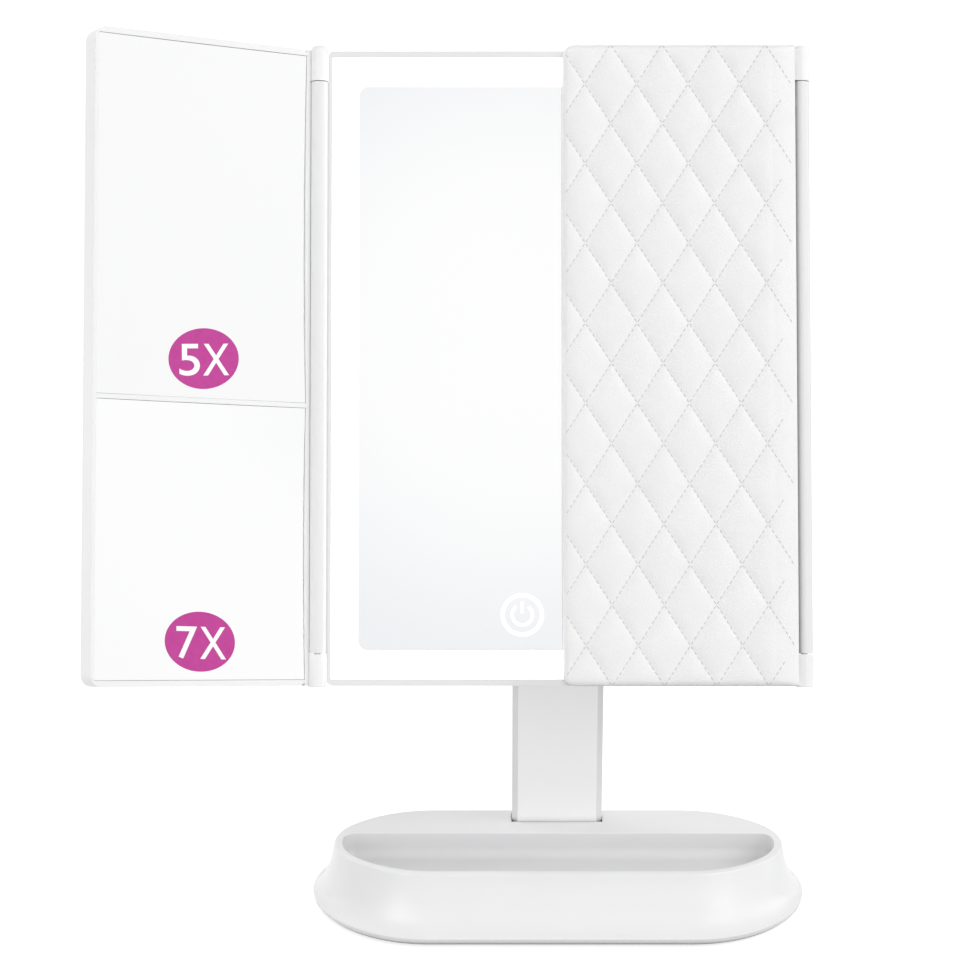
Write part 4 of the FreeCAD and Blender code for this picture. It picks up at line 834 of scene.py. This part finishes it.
def power_bar():
    """The upright bar of the power sign."""
    bpy.ops.mesh.primitive_cylinder_add(vertices=12, radius=POWER_STROKE / 2 * MM,
                                        depth=POWER_ARC * POWER_BAR_LENGTH * MM,
                                        location=(0, 0, POWER_ARC * POWER_BAR_PLACE * MM))
    bar = name_it("power_bar")
    stretch((1, 2 * MARK_RISE / POWER_STROKE, 1))
    bpy.ops.object.mode_set(mode="OBJECT")
    apply_modifier(bar, "BEVEL", width=POWER_STROKE * POWER_BAR_EDGE * MM, segments=3, limit_method="ANGLE")
    return bar


def touch_mark():
    """The lit ring and the power sign of the touch switch."""
    ring = flat_ring("touch_mark", TOUCH_RING, TOUCH_STROKE)
    arc = power_arc()
    bar = power_bar()
    start_on(ring)
    arc.select_set(True)
    bar.select_set(True)
    bpy.ops.object.join()
    bpy.ops.object.shade_smooth_by_angle(angle=math.radians(40))
    settle(ring, head_place @ Matrix.Translation(Vector(TOUCH_PLACE) * MM))
    dress(ring, lit_mark, "head")


# Magnification badges

def lay_on_glass(piece, mirror, lift):
    """Lays a flat film on a dished mirror."""
    apply_modifier(piece, "SHRINKWRAP", target=nodes[mirror], wrap_method="NEAREST_SURFACEPOINT",
                   wrap_mode="ABOVE_SURFACE", offset=lift * MM)


def printed_letter(name, letter, middle, width):
    """A flat letter or figure of a given width, its middle at a given place on the badge."""
    bpy.ops.object.text_add()
    words = bpy.context.object
    words.data.body = letter
    words.data.size = FIGURE_HEIGHT * MM
    words.data.offset = FIGURE_BOLD * MM
    start_on(words)
    bpy.ops.object.convert(target="MESH")
    piece = name_it(name)
    outline = np.array([vertex.co for vertex in piece.data.vertices])
    low, high = outline.min(axis=0), outline.max(axis=0)
    scale = Matrix.Diagonal((width * MM / (high - low)[0], FIGURE_HEIGHT * MM / (high - low)[1], 1, 1))
    shift = Matrix.Translation((middle * MM, 0, 0))
    piece.data.transform(shift @ scale @ Matrix.Translation(-Vector(low + high) / 2))
    return piece


def badge_film(level, mirror, facing, width, height):
    """The round film of a badge, laid on its mirror."""
    bpy.ops.mesh.primitive_circle_add(vertices=72, radius=0.5 * MM, fill_type="NGON")
    film = name_it(f"{level}_badge_film")
    stretch((width, height, 1))
    for ring in range(FILM_RINGS):
        bpy.ops.mesh.inset(thickness=height * FILM_RING_SHARE * MM)
    bpy.ops.object.mode_set(mode="OBJECT")
    settle(film, facing)
    lay_on_glass(film, mirror, FILM_LIFT)
    apply_modifier(film, "SOLIDIFY", thickness=FILM_THICKNESS * MM, offset=1.0)
    bpy.ops.object.shade_smooth_by_angle(angle=math.radians(30))
    dress(film, films["badge_film"], "left_wing")


def badge_figure(level, mirror, facing, letters):
    """The print of a badge, laid on its film."""
    outlines = [printed_letter(f"{level}_badge_{letter}", letter, *fit) for letter, *fit in letters]
    start_on(outlines[0])
    outlines[1].select_set(True)
    bpy.ops.object.join()
    figure = name_it(f"{level}_badge_figure")
    settle(figure, facing @ Matrix.Translation((0, -FIGURE_DROP * MM, 0)))
    lay_on_glass(figure, mirror, 2 * FILM_LIFT + FILM_THICKNESS)
    apply_modifier(figure, "SOLIDIFY", thickness=PRINT_THICKNESS * MM, offset=1.0)
    bpy.ops.object.shade_flat()
    dress(figure, films["badge_print"], "left_wing")


def badge(level):
    """A round film on a magnifying mirror with its figure printed on it."""
    letters, lean, u, z, width, height = BADGES[level]
    mirror = f"{level}_magnifying_mirror"
    spot = wing_place(-1) @ Matrix.Translation(Vector((-u, WING_GLASS, z)) * MM)
    slope = Matrix.Identity(4)
    slope[1][0] = lean
    facing = spot @ Matrix.Rotation(math.pi / 2, 4, "X") @ slope
    badge_film(level, mirror, facing, width, height)
    badge_figure(level, mirror, facing, letters)


# Screw heads

def screw_heads(name, places, node):
    """Pan heads with a cross recess, facing backwards."""
    bpy.ops.mesh.primitive_cylinder_add(vertices=32, radius=SCREW_RADIUS * MM, depth=SCREW_HEIGHT * MM,
                                        rotation=(-math.pi / 2, 0, 0),
                                        location=(0, SCREW_HEIGHT / 2 * MM, 0))
    head = name_it(name)
    bpy.ops.object.transform_apply(rotation=True, location=True)
    apply_modifier(head, "BEVEL", width=SCREW_HEIGHT * SCREW_EDGE * MM, segments=4, limit_method="ANGLE")
    arm, width, depth = SCREW_RADIUS * CROSS_ARM, SCREW_RADIUS * CROSS_WIDTH, SCREW_HEIGHT * CROSS_DEPTH
    for turn in (0.0, math.pi / 2):
        bpy.ops.mesh.primitive_cube_add(size=1, location=(0, SCREW_HEIGHT * MM, 0), rotation=(0, turn, 0),
                                        scale=(arm * MM, 2 * depth * MM, width * MM))
        cutter = name_it("cross_recess")
        apply_modifier(head, "BOOLEAN", operation="DIFFERENCE", object=cutter, solver="EXACT")
        bpy.data.objects.remove(cutter)
    shape = head.data.copy()
    head.data.transform(Matrix.Translation(Vector(places[0]) * MM))
    copies = []
    for place in places[1:]:
        copy = add_object(name, shape.copy())
        copy.data.transform(Matrix.Translation(Vector(place) * MM))
        copies.append(copy)
    start_on(head)
    for copy in copies:
        copy.select_set(True)
    bpy.ops.object.join()
    bpy.ops.object.shade_smooth_by_angle(angle=math.radians(35))
    settle(head, head_place)
    dress(head, FINISHES["screw_steel"], "head")
    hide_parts(node)


# Stage

def make_camera():
    """The camera at the photograph's viewing angle."""
    data = bpy.data.cameras.new("camera")
    data.sensor_width = CAMERA_SENSOR
    data.lens = CAMERA_LENS
    camera = add_object("camera", data)
    camera.location = Vector(CAMERA_PLACE) * MM
    camera.rotation_euler = (math.radians(90 - CAMERA_DIP), 0, 0)
    scene.camera = camera


def seen_rays(tree):
    """1 for rays that show the surroundings, straight or in a mirror, and 0 for rays that light."""
    rays = tree.nodes.new("ShaderNodeLightPath")
    seen = rays.outputs["Is Camera Ray"]
    for kind in ("Is Glossy Ray", "Is Transmission Ray"):
        either = tree.nodes.new("ShaderNodeMath")
        either.operation = "MAXIMUM"
        tree.links.new(seen, either.inputs[0])
        tree.links.new(rays.outputs[kind], either.inputs[1])
        seen = either.outputs[0]
    return seen


def make_floor():
    """A pale floor that shows white and keeps the shadow."""
    bpy.ops.mesh.primitive_plane_add(size=FLOOR_SIZE, location=(0, 0, 0))
    floor = name_it("floor")
    material = bpy.data.materials.new("pale_floor")
    material.use_nodes = True
    tree = material.node_tree
    tree.nodes.remove(tree.nodes["Principled BSDF"])
    matt = tree.nodes.new("ShaderNodeBsdfDiffuse")
    matt.inputs["Color"].default_value = (FLOOR_TONE, FLOOR_TONE, FLOOR_TONE, 1)
    glow = tree.nodes.new("ShaderNodeEmission")
    strength = tree.nodes.new("ShaderNodeMapRange")
    strength.inputs["To Max"].default_value = FLOOR_GLOW
    tree.links.new(seen_rays(tree), strength.inputs["Value"])
    tree.links.new(strength.outputs["Result"], glow.inputs["Strength"])
    both = tree.nodes.new("ShaderNodeAddShader")
    tree.links.new(matt.outputs[0], both.inputs[0])
    tree.links.new(glow.outputs[0], both.inputs[1])
    tree.links.new(both.outputs[0], tree.nodes["Material Output"].inputs["Surface"])
    floor.data.materials.append(material)


def sky_lobe(tree, azimuth, elevation, outer, inner):
    """1 within the inner angle of a direction, fading to 0 at the outer angle."""
    turn, rise = math.radians(azimuth), math.radians(elevation)
    reach = math.cos(rise)
    toward = tree.nodes.new("ShaderNodeVectorMath")
    toward.operation = "DOT_PRODUCT"
    toward.inputs[1].default_value = (math.sin(turn) * reach, -math.cos(turn) * reach, math.sin(rise))
    tree.links.new(tree.nodes.new("ShaderNodeTexCoord").outputs["Generated"], toward.inputs[0])
    fade = tree.nodes.new("ShaderNodeMapRange")
    fade.interpolation_type = "SMOOTHSTEP"
    fade.inputs["From Min"].default_value = math.cos(math.radians(outer))
    fade.inputs["From Max"].default_value = math.cos(math.radians(inner))
    tree.links.new(toward.outputs["Value"], fade.inputs["Value"])
    return fade.outputs["Result"]


def make_world():
    """Soft white surroundings: even light with more from the front, and walls and soft boxes to mirror."""
    world = bpy.data.worlds.new("studio")
    scene.world = world
    world.use_nodes = True
    tree = world.node_tree
    ambient = tree.nodes["Background"]
    strength = tree.nodes.new("ShaderNodeMapRange")
    strength.inputs["To Min"].default_value = AMBIENT
    strength.inputs["To Max"].default_value = FRONT_LIGHT
    tree.links.new(sky_lobe(tree, *FRONT_LOBE), strength.inputs["Value"])
    tree.links.new(strength.outputs["Result"], ambient.inputs["Strength"])
    ambient.inputs["Color"].default_value = (1, 1, 1, 1)
    tone = None
    for place, color in SHOWN_LOBES:
        mix = tree.nodes.new("ShaderNodeMix")
        mix.data_type = "RGBA"
        mix.inputs["A"].default_value = (1, 1, 1, 1)
        mix.inputs["B"].default_value = (*color, 1)
        tree.links.new(sky_lobe(tree, *place), mix.inputs["Factor"])
        if tone is not None:
            tree.links.new(tone, mix.inputs["A"])
        tone = mix.outputs["Result"]
    shown = tree.nodes.new("ShaderNodeBackground")
    tree.links.new(tone, shown.inputs["Color"])
    choose = tree.nodes.new("ShaderNodeMixShader")
    tree.links.new(seen_rays(tree), choose.inputs["Fac"])
    tree.links.new(ambient.outputs[0], choose.inputs[1])
    tree.links.new(shown.outputs[0], choose.inputs[2])
    tree.links.new(choose.outputs[0], tree.nodes["World Output"].inputs["Surface"])


def make_lamp(name, place, aim, size, energy):
    """A soft lamp."""
    data = bpy.data.lights.new(name, "AREA")
    data.size = size
    data.energy = energy
    lamp = add_object(name, data)
    lamp.location = place
    lamp.rotation_euler = (Vector(aim) - Vector(place)).to_track_quat("-Z", "Y").to_euler()
    lamp.visible_glossy = False


scene.view_settings.view_transform = "Standard"
finish_nodes()
softened = {node: soften_edges(node, edge) for node, edge in SOFT_EDGES.items()}
paint_tray_shade(softened["base_shell"])
paint_post_light_and_shade(softened["post_front_shell"])
softened["center_frame"].data.materials[0] = plastics["frame_plastic"]
cover_sheet = quilted_sheet()
for name, side in (("left", -1), ("right", 1)):
    quilted_cover(name, side, cover_sheet)
bpy.data.objects.remove(cover_sheet)
touch_mark()
for level in BADGES:
    badge(level)
screw_heads("cover_screw_heads", COVER_SCREWS, "cover_screws")
screw_heads("bracket_screw_heads", BRACKET_SCREWS, "bracket_screws")

make_camera()
make_floor()
make_world()
for name, settings in LAMPS.items():
    make_lamp(name, *settings)
